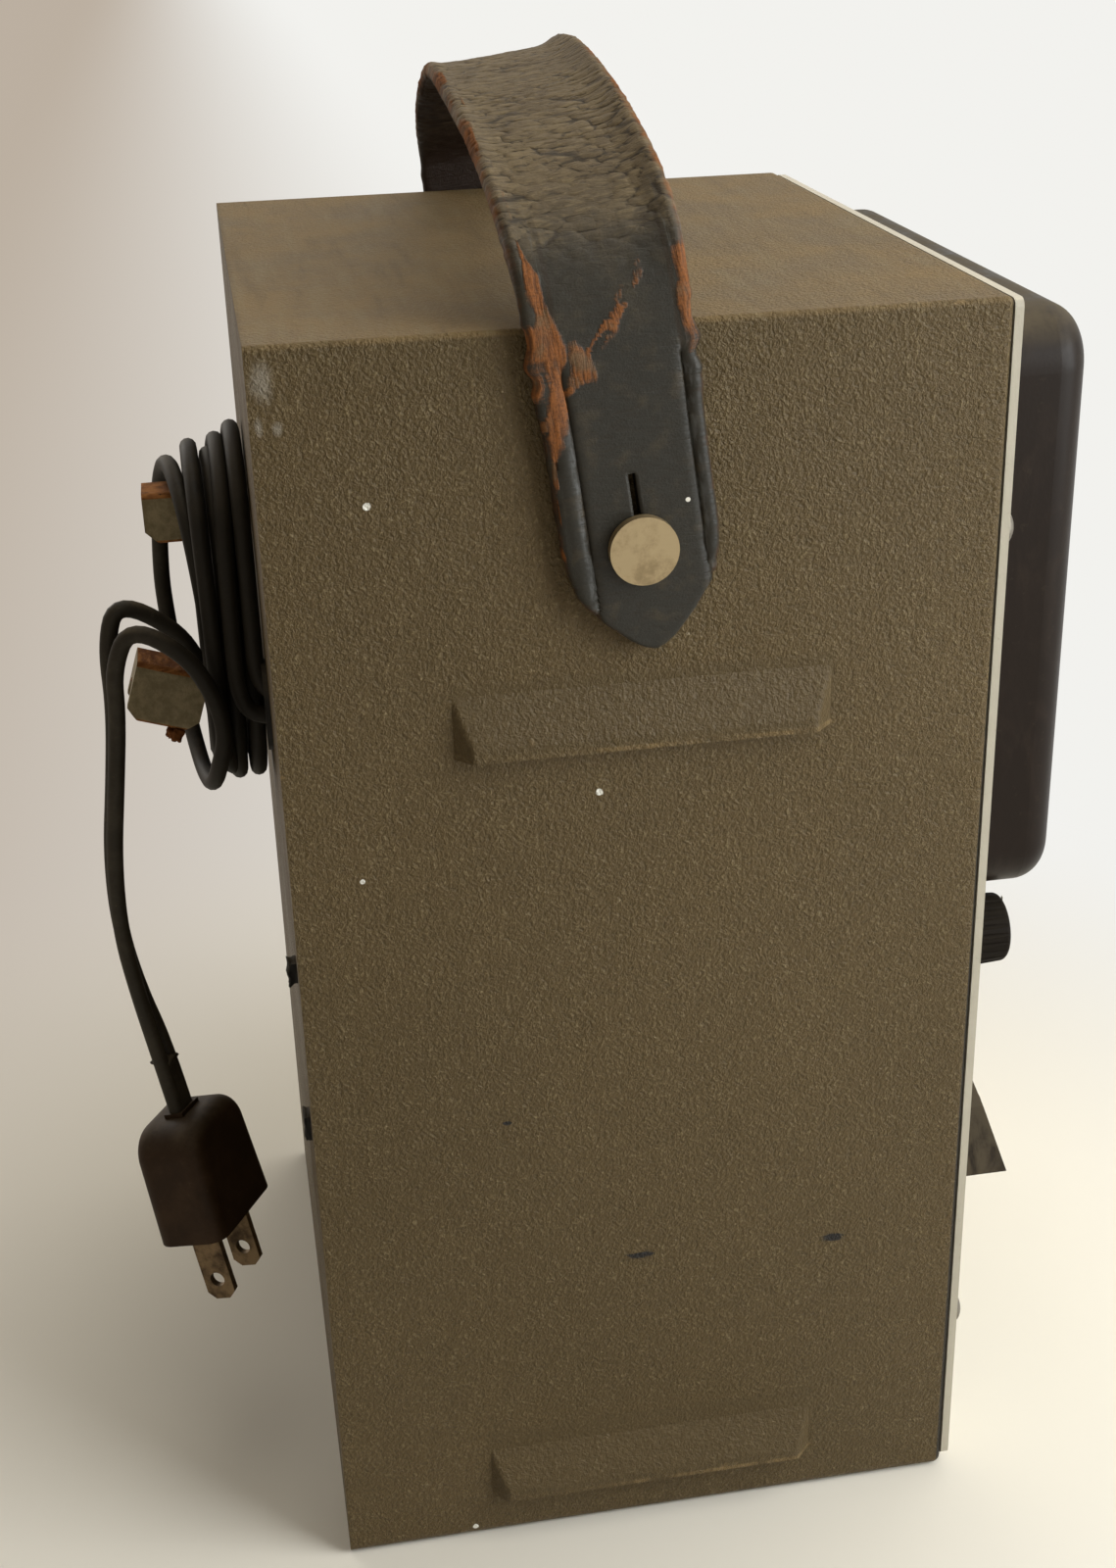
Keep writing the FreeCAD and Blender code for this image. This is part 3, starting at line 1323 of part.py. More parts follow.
class Path:
    """A tube's centre line, drawn as straight runs and tangent arcs."""

    def __init__(self, start):
        self.end = start
        self.edges = []
        self.radii = []

    def line(self, point):
        if (point - self.end).Length > SAME_POINT:
            self.edges.append(Part.LineSegment(self.end, point).toShape())
        self.end = point

    def arc(self, through, point):
        self.edges.append(Part.Arc(self.end, through, point).toShape())
        self.end = point

    def half_turn(self, point, upward):
        centre = (self.end + point) / 2
        rise = (point - self.end).Length / 2
        self.arc(centre + Vector(0, 0, rise if upward else -rise), point)

    def ease(self, point):
        """An upright run that may step sideways: two arcs that start and end upright."""
        step = point - self.end
        side = Vector(step.x, step.y, 0)
        if side.Length < SAME_POINT:
            self.line(point)
            return
        half = (self.end + point) / 2
        radius = step.Length ** 2 / (4 * side.Length)
        away = side.normalize()
        start = self.end
        for first, last, centre in (
            (start, half, start + away * radius),
            (half, point, point - away * radius),
        ):
            spoke = (first + last) / 2 - centre
            self.arc(centre + spoke.normalize() * radius, last)

    def rounded_route(self, points):
        """Straight runs through the points, with each corner rounded as far as its shorter run allows."""
        for before, corner, after in zip(points, points[1:], points[2:]):
            arriving, leaving = corner - before, after - corner
            reach = CORNER_SHARE * min(arriving.Length, leaving.Length)
            turn = arriving.getAngle(leaving)
            self.radii.append(reach / math.tan(turn / 2))
            first = corner - arriving.normalize() * reach
            last = corner + leaving.normalize() * reach
            inward = (first + last) / 2 - corner
            drop = self.radii[-1] / math.cos(turn / 2) - self.radii[-1]
            self.line(first)
            self.arc(corner + inward.normalize() * drop, last)
        self.line(points[-1])

    def tube(self, diameter):
        wire = Part.Wire(self.edges)
        start = wire.Edges[0]
        heading = start.tangentAt(start.FirstParameter)
        ring = Part.Wire(Part.makeCircle(diameter / 2, start.valueAt(start.FirstParameter), heading))
        shape = wire.makePipeShell([ring], True, False)
        expected = math.pi * diameter ** 2 / 4 * wire.Length
        if abs(shape.Volume - expected) > VOLUME_SLACK * expected:
            raise RuntimeError("a cord's volume is not its section times its length")
        return wire, shape


def coil_path(shift, lift):
    """One conductor from inside the pan to where it leaves the coil.

    It winds inwards against the pan, climbs as it turns back and winds outwards over itself.
    The shift moves it outwards beside the other conductor, and the lift is its last straight run.
    """
    pitch = size("cord_pitch")
    widths = [size("coil_inner_turn") + pitch * n for n in range(COIL_LAYERS)]
    turns = widths[::-1] + widths[1:2]
    top, bottom = size("coil_turn_top"), size("coil_turn_bottom")
    bend = size("exit_bend") + shift
    low = size("exit_height") - shift
    depth = size("case_depth") / 2 + size("coil_stand_off") - size("exit_bend")
    side = -widths[-1]
    path = Path(Vector(side, depth - size("exit_inside"), low))
    path.line(Vector(side, depth, low))
    lean = bend * math.sqrt(0.5)
    path.arc(Vector(side, depth + lean, low + bend - lean), Vector(side, depth + bend, low + bend))
    level = depth + bend
    after = turns[1:] + [widths[-1]]
    for width, following in zip(turns, after):
        climb = pitch if width == widths[0] else 0.0
        level += climb
        path.ease(Vector(-width, level, top))
        path.half_turn(Vector(width, level, top), True)
        level += climb
        path.ease(Vector(width, level, bottom))
        path.half_turn(Vector(-following, level, bottom), False)
    path.line(path.end + Vector(0, 0, lift))
    return path


def least_gap(wire, diameter):
    """Least free space between one stretch of a tube and another, over points along its centre line."""
    spots = wire.discretize(Distance=GAP_STEP)
    far = [(a - b).Length for n, a in enumerate(spots) for b in spots[n + GAP_SKIP:]]
    return min(far) - diameter


def between(wire, other, diameter):
    return wire.distToShape(other)[0] - diameter


def add_tube(name, label, shape):
    thing = doc.addObject("Part::Feature", name)
    thing.Shape = shape
    return node(thing, label)


def mains_cord():
    diameter = size("cord_diameter")
    pitch = size("cord_pitch")
    down = Vector(PLUG_DOWN).normalize()
    aside = PLUG_BLADE_LINE - down * PLUG_BLADE_LINE.dot(down)
    aside.normalize()
    ends = {
        "first": (FIRST_ROUTE, 0.0, 1),
        "second": (SECOND_ROUTE, pitch, -1),
    }
    wires = {}
    for name, (route, shift, way) in ends.items():
        coil = coil_path(shift, size(f"{name}_lift"))
        coil_wire, coil_shape = coil.tube(diameter)
        add_tube(f"{name}Coil", f"cord_coil_{name}", coil_shape)
        finish = PLUG_TOP + aside * (way * pitch / 2)
        above = finish - down * size("plug_approach")
        tail = Path(coil.end)
        tail.rounded_route([coil.end] + route + [above, finish])
        tail_wire, tail_shape = tail.tube(diameter)
        add_tube(f"{name}Tail", f"cord_tail_{name}", tail_shape)
        wires[name] = (coil_wire, tail_wire)
        print(f"{name} conductor: coil {coil_wire.Length:.0f} mm, tail {tail_wire.Length:.0f} mm")
        print(f"  least gap in the coil {least_gap(coil_wire, diameter):.2f} mm")
        print("  tail radii", [round(radius, 1) for radius in tail.radii])
    for n, part in enumerate(("coils", "tails")):
        print(f"  gap between the {part} {between(wires['first'][n], wires['second'][n], diameter):.2f} mm")


# Plug, hanging from the cord with its blades down

def plug_placement():
    up = Vector(PLUG_DOWN).normalize() * -1
    across = PLUG_BLADE_LINE - up * PLUG_BLADE_LINE.dot(up)
    across.normalize()
    return Placement(PLUG_TOP, Rotation(across, up.cross(across), up, "ZXY"))


def plug():
    place_plug = plug_placement()
    body = new_body("PlugBody")
    half = "plug_width / 2"
    foot = "-(plug_body_height + plug_neck_height)"
    crown = "-plug_neck_height"
    neck = "plug_neck_width / 2"
    top = f"({half} - plug_taper)"
    shape = outline(sketch(body, "XZ_Plane", "-plug_thickness / 2"), [
        (f"-{half}", foot), (half, foot), (top, crown), (f"-{top}", crown),
    ])
    pad(body, shape, "plug_thickness")
    high = -size("plug_neck_height")
    across = Vector(0, 1, 0)
    fillet(body, "plug_shoulder", lambda edge: near(middle(edge).z, high) and runs_along(edge, across))
    side = size("plug_thickness") / 2
    low = high - size("plug_body_height")
    fillet(body, "plug_crown", lambda edge: near(abs(middle(edge).y), side) and middle(edge).z > low + 1)
    collar = rectangle(
        sketch(body, "XY_Plane"), f"-{neck}", "-plug_neck_thickness / 2", neck, "plug_neck_thickness / 2")
    pad(body, collar, "plug_neck_height + plug_edge", backwards=True)
    slots = sketch(body, "XY_Plane", foot)
    for sign in ("-", "+"):
        low_x = f"{sign} blade_pitch / 2 - blade_thickness / 2"
        rectangle(slots, low_x, "-blade_width / 2", f"{low_x} + blade_thickness", "blade_width / 2")
    pocket(body, slots, "blade_root", backwards=True)
    body.Placement = place_plug
    node(body, "plug_body")
    blades = []
    for n, sign in enumerate(("-", "+")):
        blade = new_body(f"Blade{n}")
        tip = f"{foot} - blade_length"
        shape = outline(sketch(blade, "YZ_Plane", f"{sign} blade_pitch / 2 - blade_thickness / 2"), [
            ("-blade_width / 2", f"{foot} + blade_root"), ("-blade_width / 2", f"{tip} + blade_width / 4"),
            ("-blade_width / 4", tip), ("blade_width / 4", tip),
            ("blade_width / 2", f"{tip} + blade_width / 4"), ("blade_width / 2", f"{foot} + blade_root"),
        ])
        pad(blade, shape, "blade_thickness")
        hole = circle(sketch(blade, "YZ_Plane"), "0", f"{foot} - blade_hole_drop", "blade_hole")
        pocket(blade, hole, backwards=sign == "+")
        blade.Placement = place_plug
        blades.append(blade)
    group("plug_blades", blades)


def build():
    case_wrap()
    rear_panel()
    front_panel()
    panel_screws()
    meter_cover()
    meter_base()
    meter_window()
    meter_movement()
    for side, sign in SIDES.items():
        control(side, sign)
        selector(side, sign)
    bushing_nuts()
    for kind in SOCKETS:
        socket(kind)
    socket_screws()
    socket_contacts()
    pilot_lamp()
    test_button()
    power_toggle()
    chassis()
    transformer()
    handle_strap()
    strap_studs()
    cord_cleats()
    cord_grommet()
    mains_cord()
    plug()


def export():
    doc.recompute()
    for thing in doc.Objects:
        if "Invalid" in thing.State or "Error" in thing.State:
            raise RuntimeError(f"{thing.Label} failed: {thing.State}")
    for thing in nodes:
        if thing.Shape.isNull() or not thing.Shape.isValid():
            raise RuntimeError(f"{thing.Label} has no valid shape")
    os.makedirs("parts", exist_ok=True)
    for thing in nodes:
        thing.Shape.exportStep(os.path.join("parts", thing.Label + ".step"))
    print(len(nodes), "nodes written")


build()
export()
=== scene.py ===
"""Looks of a portable tube tester: worn enamel, cracked leather, moulded knobs and a wound mains cord."""

import json
import math

import bmesh
import bpy
from mathutils import Matrix, Vector, noise


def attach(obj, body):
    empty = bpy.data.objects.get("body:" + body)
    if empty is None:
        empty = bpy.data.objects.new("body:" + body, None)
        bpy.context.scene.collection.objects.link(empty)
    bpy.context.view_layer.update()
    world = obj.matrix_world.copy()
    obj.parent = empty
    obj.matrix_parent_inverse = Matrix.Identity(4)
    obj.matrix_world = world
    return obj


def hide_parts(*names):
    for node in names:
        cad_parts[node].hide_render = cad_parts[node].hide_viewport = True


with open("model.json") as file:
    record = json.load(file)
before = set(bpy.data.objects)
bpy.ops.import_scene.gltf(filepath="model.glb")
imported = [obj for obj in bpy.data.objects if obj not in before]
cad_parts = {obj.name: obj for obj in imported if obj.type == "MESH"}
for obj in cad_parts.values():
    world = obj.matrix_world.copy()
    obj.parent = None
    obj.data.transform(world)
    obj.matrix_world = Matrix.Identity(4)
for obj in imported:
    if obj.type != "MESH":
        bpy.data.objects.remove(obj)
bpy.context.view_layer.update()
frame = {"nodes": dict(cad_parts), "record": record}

bl_info = {
    "name": "Tube tester",
    "version": (1, 0, 0),
    "blender": (4, 5, 0),
    "location": "View3D > Sidebar > Tube tester",
    "description": "Dresses the packed tube tester with its finishes, leather, cord and dial marks",
    "category": "Object",
}

NODES = frame["nodes"]
SLOT_OF = {row["node"]: row["material_slot"] for row in frame["record"]["subparts"]}
MM = 0.001


def spot(x, y, z):
    """A point given in millimetres."""
    return Vector((x, y, z)) * MM


# Sizes and colours that a user would change

def length(name, description, default):
    return bpy.props.FloatProperty(
        name=name, description=description, default=default, unit="LENGTH", precision=4)


def turn(name, description, degrees):
    return bpy.props.FloatProperty(
        name=name, description=description, default=math.radians(degrees), unit="ROTATION")


def colour(name, description, default):
    return bpy.props.FloatVectorProperty(
        name=name, description=description, default=default, subtype="COLOR", size=3, min=0.0, max=1.0)


class TesterCase(bpy.types.PropertyGroup):
    """Enamel of the case and its wear."""

    enamel: colour("Enamel", "Olive brown hammer enamel", (0.1035, 0.0696, 0.0286))
    # Dark enamel also paints shade into the hollows of the hammer texture, and pale enamel paints highlights
    # on its crests and its glints.
    dark_enamel_and_hollow_shade: colour("Dark enamel", "Enamel in the hollows and stains", (0.0564, 0.0391, 0.0154))
    pale_enamel_and_crest_glint: colour("Pale enamel", "Enamel on the crests of the hammer texture", (0.193, 0.150, 0.079))
    dust: colour("Dust", "Dust that lies on the top", (0.240, 0.160, 0.069))
    chip: colour("Chip", "Pale ground that shows in chips", (0.72, 0.70, 0.64))
    # Rib: the darker tone put on the pressed ribs.
    rib: colour("Rib", "Rubbed enamel on the pressed ribs", (0.070, 0.048, 0.020))
    # The scuff colour also paints the shade in the gap between the side and the front panel.
    scuff_and_gap_shade: colour("Scuff", "Black rubbed marks", (0.012, 0.011, 0.010))
    dimple: length("Dimple", "Depth of the hammer texture", 0.00085)


class TesterFront(bpy.types.PropertyGroup):
    """Front panel, meter and knobs."""

    panel: colour("Panel", "Cream panel enamel", (0.58, 0.53, 0.42))
    bakelite: colour("Bakelite", "Brown black moulding", (0.0115, 0.0070, 0.0042))
    bakelite_dust: colour("Moulding dust", "Dust on the upper edges of mouldings", (0.110, 0.088, 0.056))
    card: colour("Dial card", "Aged dial card", (0.78, 0.71, 0.54))
    ink: colour("Ink", "Printed marks", (0.020, 0.018, 0.016))
    red: colour("Red", "Red of the jewel, button and dial sector", (0.42, 0.020, 0.016))
    green: colour("Green", "Green of the dial sector", (0.035, 0.15, 0.055))


class TesterStrap(bpy.types.PropertyGroup):
    """Leather strap handle."""

    width: length("Width", "Width of the strap", 0.0254)
    thickness: length("Thickness", "Thickness of the leather", 0.0029)
    span: length("Half span", "From the middle to the strap's middle layer", 0.0721)
    shoulder: length("Shoulder", "Height where the arch starts", 0.244)
    rise: length("Rise", "Rise of the arch's middle layer", 0.0258)
    tip: length("Tip", "From the stud down to the tip", 0.0174)
    slit: length("Slit", "Length of the slit above the stud", 0.0122)
    lean: turn("Lean", "Lean to the rear", 7.5)
    black: colour("Black", "Dyed leather at the ends", (0.0245, 0.0225, 0.0172))
    olive: colour("Olive", "Faded leather over the arch", (0.110, 0.080, 0.044))
    yellow: colour("Yellow", "Rubbed crests over the arch", (0.195, 0.146, 0.078))
    raw: colour("Raw", "Raw worn edges", (0.225, 0.078, 0.018))
    # Shine paints a highlight on the flank beside each seam groove.
    shine: colour("Shine", "Rubbed lines beside the seams", (0.115, 0.118, 0.115))
    crack: colour("Crack", "Bottom of the cracks", (0.026, 0.019, 0.012))
    speck: colour("Speck", "A fleck of white paint", (0.75, 0.72, 0.65))


class TesterCord(bpy.types.PropertyGroup):
    """Two conductors of the mains cord, wound on the cleats."""

    diameter: length("Diameter", "Diameter of one conductor", 0.0032)
    pitch: length("Pitch", "Between neighbouring turns", 0.00365)
    top: length("Upper centre", "Height about which the turns go over", 0.1835)
    bottom: length("Lower centre", "Height about which the turns go under", 0.1625)
    exit_height: length("Exit height", "Height of the exit through the pan", 0.163)
    exit_start: length("Exit start", "Start of the cord, inside the pan", 0.0515)
    approach: length("Approach", "Last straight stretch into the plug", 0.0136)
    rubber: colour("Rubber", "Aged rubber of the cord", (0.027, 0.0225, 0.0158))
    plug: colour("Plug", "Dark brown plug", (0.024, 0.012, 0.0045))


class TesterStage(bpy.types.PropertyGroup):
    """Floor, lamps and camera."""

    floor: colour("Floor", "Pale floor", (0.76, 0.725, 0.645))
    bright: colour("Bright backdrop", "Backdrop on the side of the key lamp", (0.890, 0.885, 0.855))
    dim: colour("Dim backdrop", "Backdrop on the other side", (0.500, 0.430, 0.355))
    lens: bpy.props.FloatProperty(
        name="Lens", description="Focal length of the camera", default=47.32, unit="CAMERA", subtype="NONE")
    camera: bpy.props.FloatVectorProperty(
        name="Camera", description="Where the camera stands", default=(-0.3786, 0.06594, 0.30523),
        subtype="TRANSLATION", unit="LENGTH", size=3)
    bearing: turn("Bearing", "Bearing of the camera about the object", -99.40)
    height: turn("Height", "Angle of the camera above the horizon", 24.63)
    roll: turn("Roll", "Roll of the camera about its line of sight", -1.69)


# Node trees written as sums

class Wire:
    """An output socket that Python sums work on: each sum adds a Math node to its tree."""

    def __init__(self, tree, socket):
        self.tree = tree
        self.socket = socket

    def maths(self, operation, *others):
        terms = {n: term for n, term in enumerate(others)}
        return self.tree.add("ShaderNodeMath", {"operation": operation}, terms)

    def output(self, name):
        return Wire(self.tree, self.tree.find(self.socket.node.outputs, name))

    def __add__(self, other):
        return self.maths("ADD", self, other)

    __radd__ = __add__

    def __sub__(self, other):
        return self.maths("SUBTRACT", self, other)

    def __rsub__(self, other):
        return self.maths("SUBTRACT", other, self)

    def __mul__(self, other):
        return self.maths("MULTIPLY", self, other)

    __rmul__ = __mul__

    def __truediv__(self, other):
        return self.maths("DIVIDE", self, other)

    def __pow__(self, other):
        return self.maths("POWER", self, other)

    def __neg__(self):
        return self.maths("MULTIPLY", self, -1.0)

    def __abs__(self):
        return self.maths("ABSOLUTE", self)

    def least(self, other):
        return self.maths("MINIMUM", self, other)

    def most(self, other):
        return self.maths("MAXIMUM", self, other)


class Tree:
    """A node tree with one method that adds any node."""

    def __init__(self, nodes):
        self.nodes = nodes

    def find(self, sockets, key):
        if isinstance(key, int):
            return sockets[key]
        for socket in sockets:
            if socket.identifier == key:
                return socket
        return next(socket for socket in sockets if socket.name == key and socket.enabled)

    def feed(self, socket, value):
        if isinstance(value, Wire):
            self.nodes.links.new(value.socket, socket)
        elif socket.type == "RGBA" and len(value) == 3:
            socket.default_value = (*value, 1.0)
        else:
            socket.default_value = value

    def add(self, kind, settings=None, sockets=None, output=0):
        node = self.nodes.nodes.new(kind)
        for key, value in (settings or {}).items():
            setattr(node, key, value)
        for key, value in (sockets or {}).items():
            self.feed(self.find(node.inputs, key), value)
        return Wire(self, self.find(node.outputs, output)) if len(node.outputs) else node

    def smooth(self, value, low, high):
        """0 to 1 as the value goes from low to high, with soft ends."""
        return self.add("ShaderNodeMapRange", {"interpolation_type": "SMOOTHSTEP"},
                        {"Value": value, "From Min": low, "From Max": high})


FINISHES = {}


class Finish(Tree):
    """A material: its patterns read the piece's own coordinates, in metres."""

    def __init__(self, name):
        self.name = name
        self.material = bpy.data.materials.new(name)
        self.material.use_nodes = True
        super().__init__(self.material.node_tree)
        self.nodes.nodes.clear()
        self.shader = self.nodes.nodes.new("ShaderNodeBsdfPrincipled")
        output = self.nodes.nodes.new("ShaderNodeOutputMaterial")
        self.nodes.links.new(self.shader.outputs[0], output.inputs["Surface"])
        self.place = self.add("ShaderNodeTexCoord", output="Object")

    def axes(self, place=None):
        parts = self.add("ShaderNodeSeparateXYZ", sockets={0: place or self.place})
        return parts, parts.output("Y"), parts.output("Z")

    def stretch(self, scale, place=None, turned=(0.0, 0.0, 0.0)):
        return self.add("ShaderNodeMapping", sockets={
            "Vector": place or self.place, "Scale": scale, "Rotation": turned})

    def noise(self, scale, place=None, detail=2.0, roughness=0.5, distortion=0.0):
        return self.add("ShaderNodeTexNoise", {}, {
            "Vector": place or self.place, "Scale": scale, "Detail": detail, "Roughness": roughness,
            "Distortion": distortion}, "Fac")

    def mix(self, factor, first, second):
        return self.add("ShaderNodeMix", {"data_type": "RGBA"}, {
            "Factor_Float": factor, "A_Color": first, "B_Color": second}, "Result_Color")

    def mark(self, name):
        """A value that the mesh carries at each of its points."""
        return self.add("ShaderNodeAttribute", {"attribute_name": name}, output="Fac")

    def upward(self):
        """1 where the surface faces up, 0 where it faces sideways or down."""
        facing = self.add("ShaderNodeNewGeometry", output="Normal")
        return self.smooth(self.axes(facing)[2], 0.35, 0.9)

    def bump(self, height, depth, strength=1.0):
        return self.add("ShaderNodeBump", {}, {"Height": height, "Distance": depth, "Strength": strength})

    def oval(self, across, up, centre_across, centre_up, wide, tall):
        """Distance from a point in millimetres, in half widths of an oval round it."""
        aside = (across - centre_across * MM) / (wide * MM)
        above = (up - centre_up * MM) / (tall * MM)
        return (aside * aside + above * above) ** 0.5

    def surface(self, **sockets):
        for key, value in sockets.items():
            self.feed(self.shader.inputs[key.replace("_", " ")], value)
        FINISHES[self.name] = self.material


# Finishes

SPECULAR = 0.22
DULL_SPECULAR = 0.15
CASE_HALF_WIDTH = 0.070
CASE_HALF_DEPTH = 0.0605
CASE_TOP = 0.238
LEFT_CHIPS = ((43.6, 212.1, 0.62), (7.8, 159.6, 0.62), (48.5, 147.4, 0.45), (35.6, 2.6, 0.6))
LEFT_SMUDGES = ((58.0, 232.6, 2.0, 3.4), (56.2, 225.2, 0.9, 1.2), (59.0, 225.6, 0.7, 1.6))
RIB_BANDS = ((0.1685, 0.1812), (0.0108, 0.0258))
RIB_HALF = 0.0325
HAMMER_SCALE = 1500.0
COARSE_SCALE = 620.0
FINE_SCALE = 3600.0
STAIN_SCALE = 11.0
GRIME_SCALE = 34.0
RUB_SCALE = 150.0
BRUSH_SCALE = (38.0, 340.0, 1.0)
BRUSH_TURN = (0.0, 0.0, 0.35)
STREAK_SCALE = (1.0, 260.0, 1300.0)
EDGE_WEAR = 0.0010
LIP_START = CASE_HALF_WIDTH + 0.0021
LIP_END = CASE_HALF_WIDTH + 0.0030
# Width of the painted shade line along the side's front edge at the floor, and how fast it narrows upwards
GAP_SHADE_AT_FLOOR = 0.00115
GAP_SHADE_CLOSING = 0.0034
LEFT_SCUFFS = ((1.5, 63.1, 4.2, 0.8), (-35.7, 61.3, 2.8, 0.9), (26.0, 96.0, 0.8, 0.5))


def case_enamel(look):
    finish = Finish("case_enamel")
    x, y, z = finish.axes()
    hammer = finish.noise(HAMMER_SCALE, detail=2.0, roughness=0.55, distortion=0.4)
    coarse = finish.noise(COARSE_SCALE, detail=1.0)
    fine = finish.noise(FINE_SCALE, detail=2.0)
    relief = hammer * 0.60 + coarse * 0.25 + fine * 0.15
    stains = finish.noise(STAIN_SCALE, detail=5.0, roughness=0.6)
    paint = finish.mix(finish.smooth(stains, 0.30, 0.74) * 0.65, look.dark_enamel_and_hollow_shade, look.enamel)
    paint = finish.mix(0.55, paint, look.enamel)
    # Tone of the hammer texture: its low parts darker and its crests paler, partly the enamel's own mottle
    # and partly painted shade in the hollows and painted highlight on the crests.
    paint = finish.mix(finish.smooth(relief, 0.50, 0.36) * 0.50, paint, look.dark_enamel_and_hollow_shade)
    paint = finish.mix(finish.smooth(relief, 0.54, 0.66) * 0.55, paint, look.pale_enamel_and_crest_glint)
    # Painted highlight: sparse bright glints on the enamel.
    painted_glint = finish.smooth(finish.noise(1000.0, detail=1.0), 0.70, 0.78)
    paint = finish.mix(painted_glint * 0.7, paint, look.pale_enamel_and_crest_glint)
    top = finish.smooth(z, CASE_TOP - 0.0012, CASE_TOP - 0.0002)
    grime = finish.noise(GRIME_SCALE, detail=6.0, roughness=0.65)
    brushed = finish.noise(1.0, finish.stretch(BRUSH_SCALE, turned=BRUSH_TURN), detail=4.0, roughness=0.6)
    paint = finish.mix(top * (0.30 + finish.smooth(grime, 0.35, 0.7) * 0.40), paint, look.dust)
    paint = finish.mix(top * finish.smooth(brushed, 0.48, 0.70) * 0.40, paint, look.pale_enamel_and_crest_glint)
    paint = finish.mix(top * finish.smooth(brushed, 0.46, 0.30) * 0.22, paint, look.dark_enamel_and_hollow_shade)
    side = CASE_HALF_WIDTH - abs(x)
    end = CASE_HALF_DEPTH - abs(y)
    level = z.least(CASE_TOP - z)
    edge = side.least(end).most(side.most(end).least(level))
    rub = finish.noise(RUB_SCALE, detail=4.0, roughness=0.7)
    worn = finish.smooth(edge, EDGE_WEAR, EDGE_WEAR / 10.0) * (0.35 + finish.smooth(rub, 0.40, 0.66) * 0.45)
    lip = finish.smooth(abs(x), LIP_START, LIP_END)
    worn = worn.most(lip * finish.smooth(rub, 0.42, 0.66) * 0.5)
    paint = finish.mix(worn * 0.55, paint, look.dark_enamel_and_hollow_shade)
    paint = finish.mix(worn * finish.smooth(rub, 0.60, 0.68), paint, look.dust)
    left = finish.smooth(x, -CASE_HALF_WIDTH + 0.002, -CASE_HALF_WIDTH + 0.001)
    inside = finish.smooth(abs(y), RIB_HALF + 0.001, RIB_HALF - 0.001) * finish.smooth(side, 0.002, 0.001)
    # Each pressed rib is painted darker, with a paler line along the front part of its lower edge.
    for low, high in RIB_BANDS:
        rib = inside * finish.smooth(z, low, low + 0.0015) * finish.smooth(z, high + 0.0006, high - 0.0012)
        paint = finish.mix(rib * 0.50, paint, look.rib)
        relief = relief + rib * (0.5 - relief) * 0.25
        brink = finish.smooth(abs(z - low), 0.0006, 0.0002) * finish.smooth(y, 0.022, 0.004) * inside
        paint = finish.mix(brink * finish.smooth(rub, 0.40, 0.62) * 0.45, paint, look.dust)
    for smudge_y, smudge_z, wide, tall in LEFT_SMUDGES:
        away = finish.oval(y, z, smudge_y, smudge_z, wide, tall) + (rub - 0.5) * 1.2
        paint = finish.mix(finish.smooth(away, 1.2, 0.3) * left * 0.15, paint, look.chip)
    # Painted shade: a dark line along the front edge of the side, where the gap to the panel lies in shadow;
    # it is widest at the bottom.
    seam_shade = GAP_SHADE_AT_FLOOR - z * GAP_SHADE_CLOSING
    gap_shade = finish.smooth(y + CASE_HALF_DEPTH - seam_shade, 0.00015, -0.00015) * finish.smooth(side, 0.002, 0.001)
    paint = finish.mix(gap_shade * 0.9, paint, look.scuff_and_gap_shade)
    ragged = finish.noise(900.0, detail=2.0) * 0.9 + 0.55
    for chip_y, chip_z, radius in LEFT_CHIPS:
        away = finish.oval(y, z, chip_y, chip_z, radius, radius) * ragged
        paint = finish.mix(finish.smooth(away, 1.1, 0.8) * left, paint, look.chip)
    streak = finish.noise(1.0, finish.stretch(STREAK_SCALE), detail=3.0)
    for scuff_y, scuff_z, wide, tall in LEFT_SCUFFS:
        away = finish.oval(y, z, scuff_y, scuff_z, wide, tall) + (streak - 0.5) * 2.2
        paint = finish.mix(finish.smooth(away, 1.0, 0.6) * left, paint, look.scuff_and_gap_shade)
    gloss = 0.40 + finish.smooth(grime, 0.3, 0.7) * 0.12 + top * 0.18
    finish.surface(
        Base_Color=paint, Roughness=gloss, Specular_IOR_Level=SPECULAR,
        Normal=finish.bump(relief, look.dimple, 1.0))


def panel_enamel(look):
    finish = Finish("panel_enamel")
    speck = finish.noise(700.0, detail=3.0, roughness=0.6)
    age = finish.noise(16.0, detail=5.0, roughness=0.6)
    brown = tuple(0.72 * part for part in look.panel)
    paint = finish.mix(finish.smooth(age, 0.35, 0.7) * 0.5, look.panel, brown)
    paint = finish.mix(finish.smooth(speck, 0.62, 0.74) * 0.35, paint, (0.20, 0.17, 0.12))
    # Darker near the panel's side edges.
    side_edge_band = finish.smooth(abs(finish.axes()[0]), CASE_HALF_WIDTH - 0.0012, CASE_HALF_WIDTH - 0.0007)
    paint = finish.mix(side_edge_band * 0.5, paint, tuple(0.45 * part for part in look.panel))
    finish.surface(
        Base_Color=paint, Roughness=0.36 + speck * 0.2, Normal=finish.bump(speck, 0.00012, 0.5))


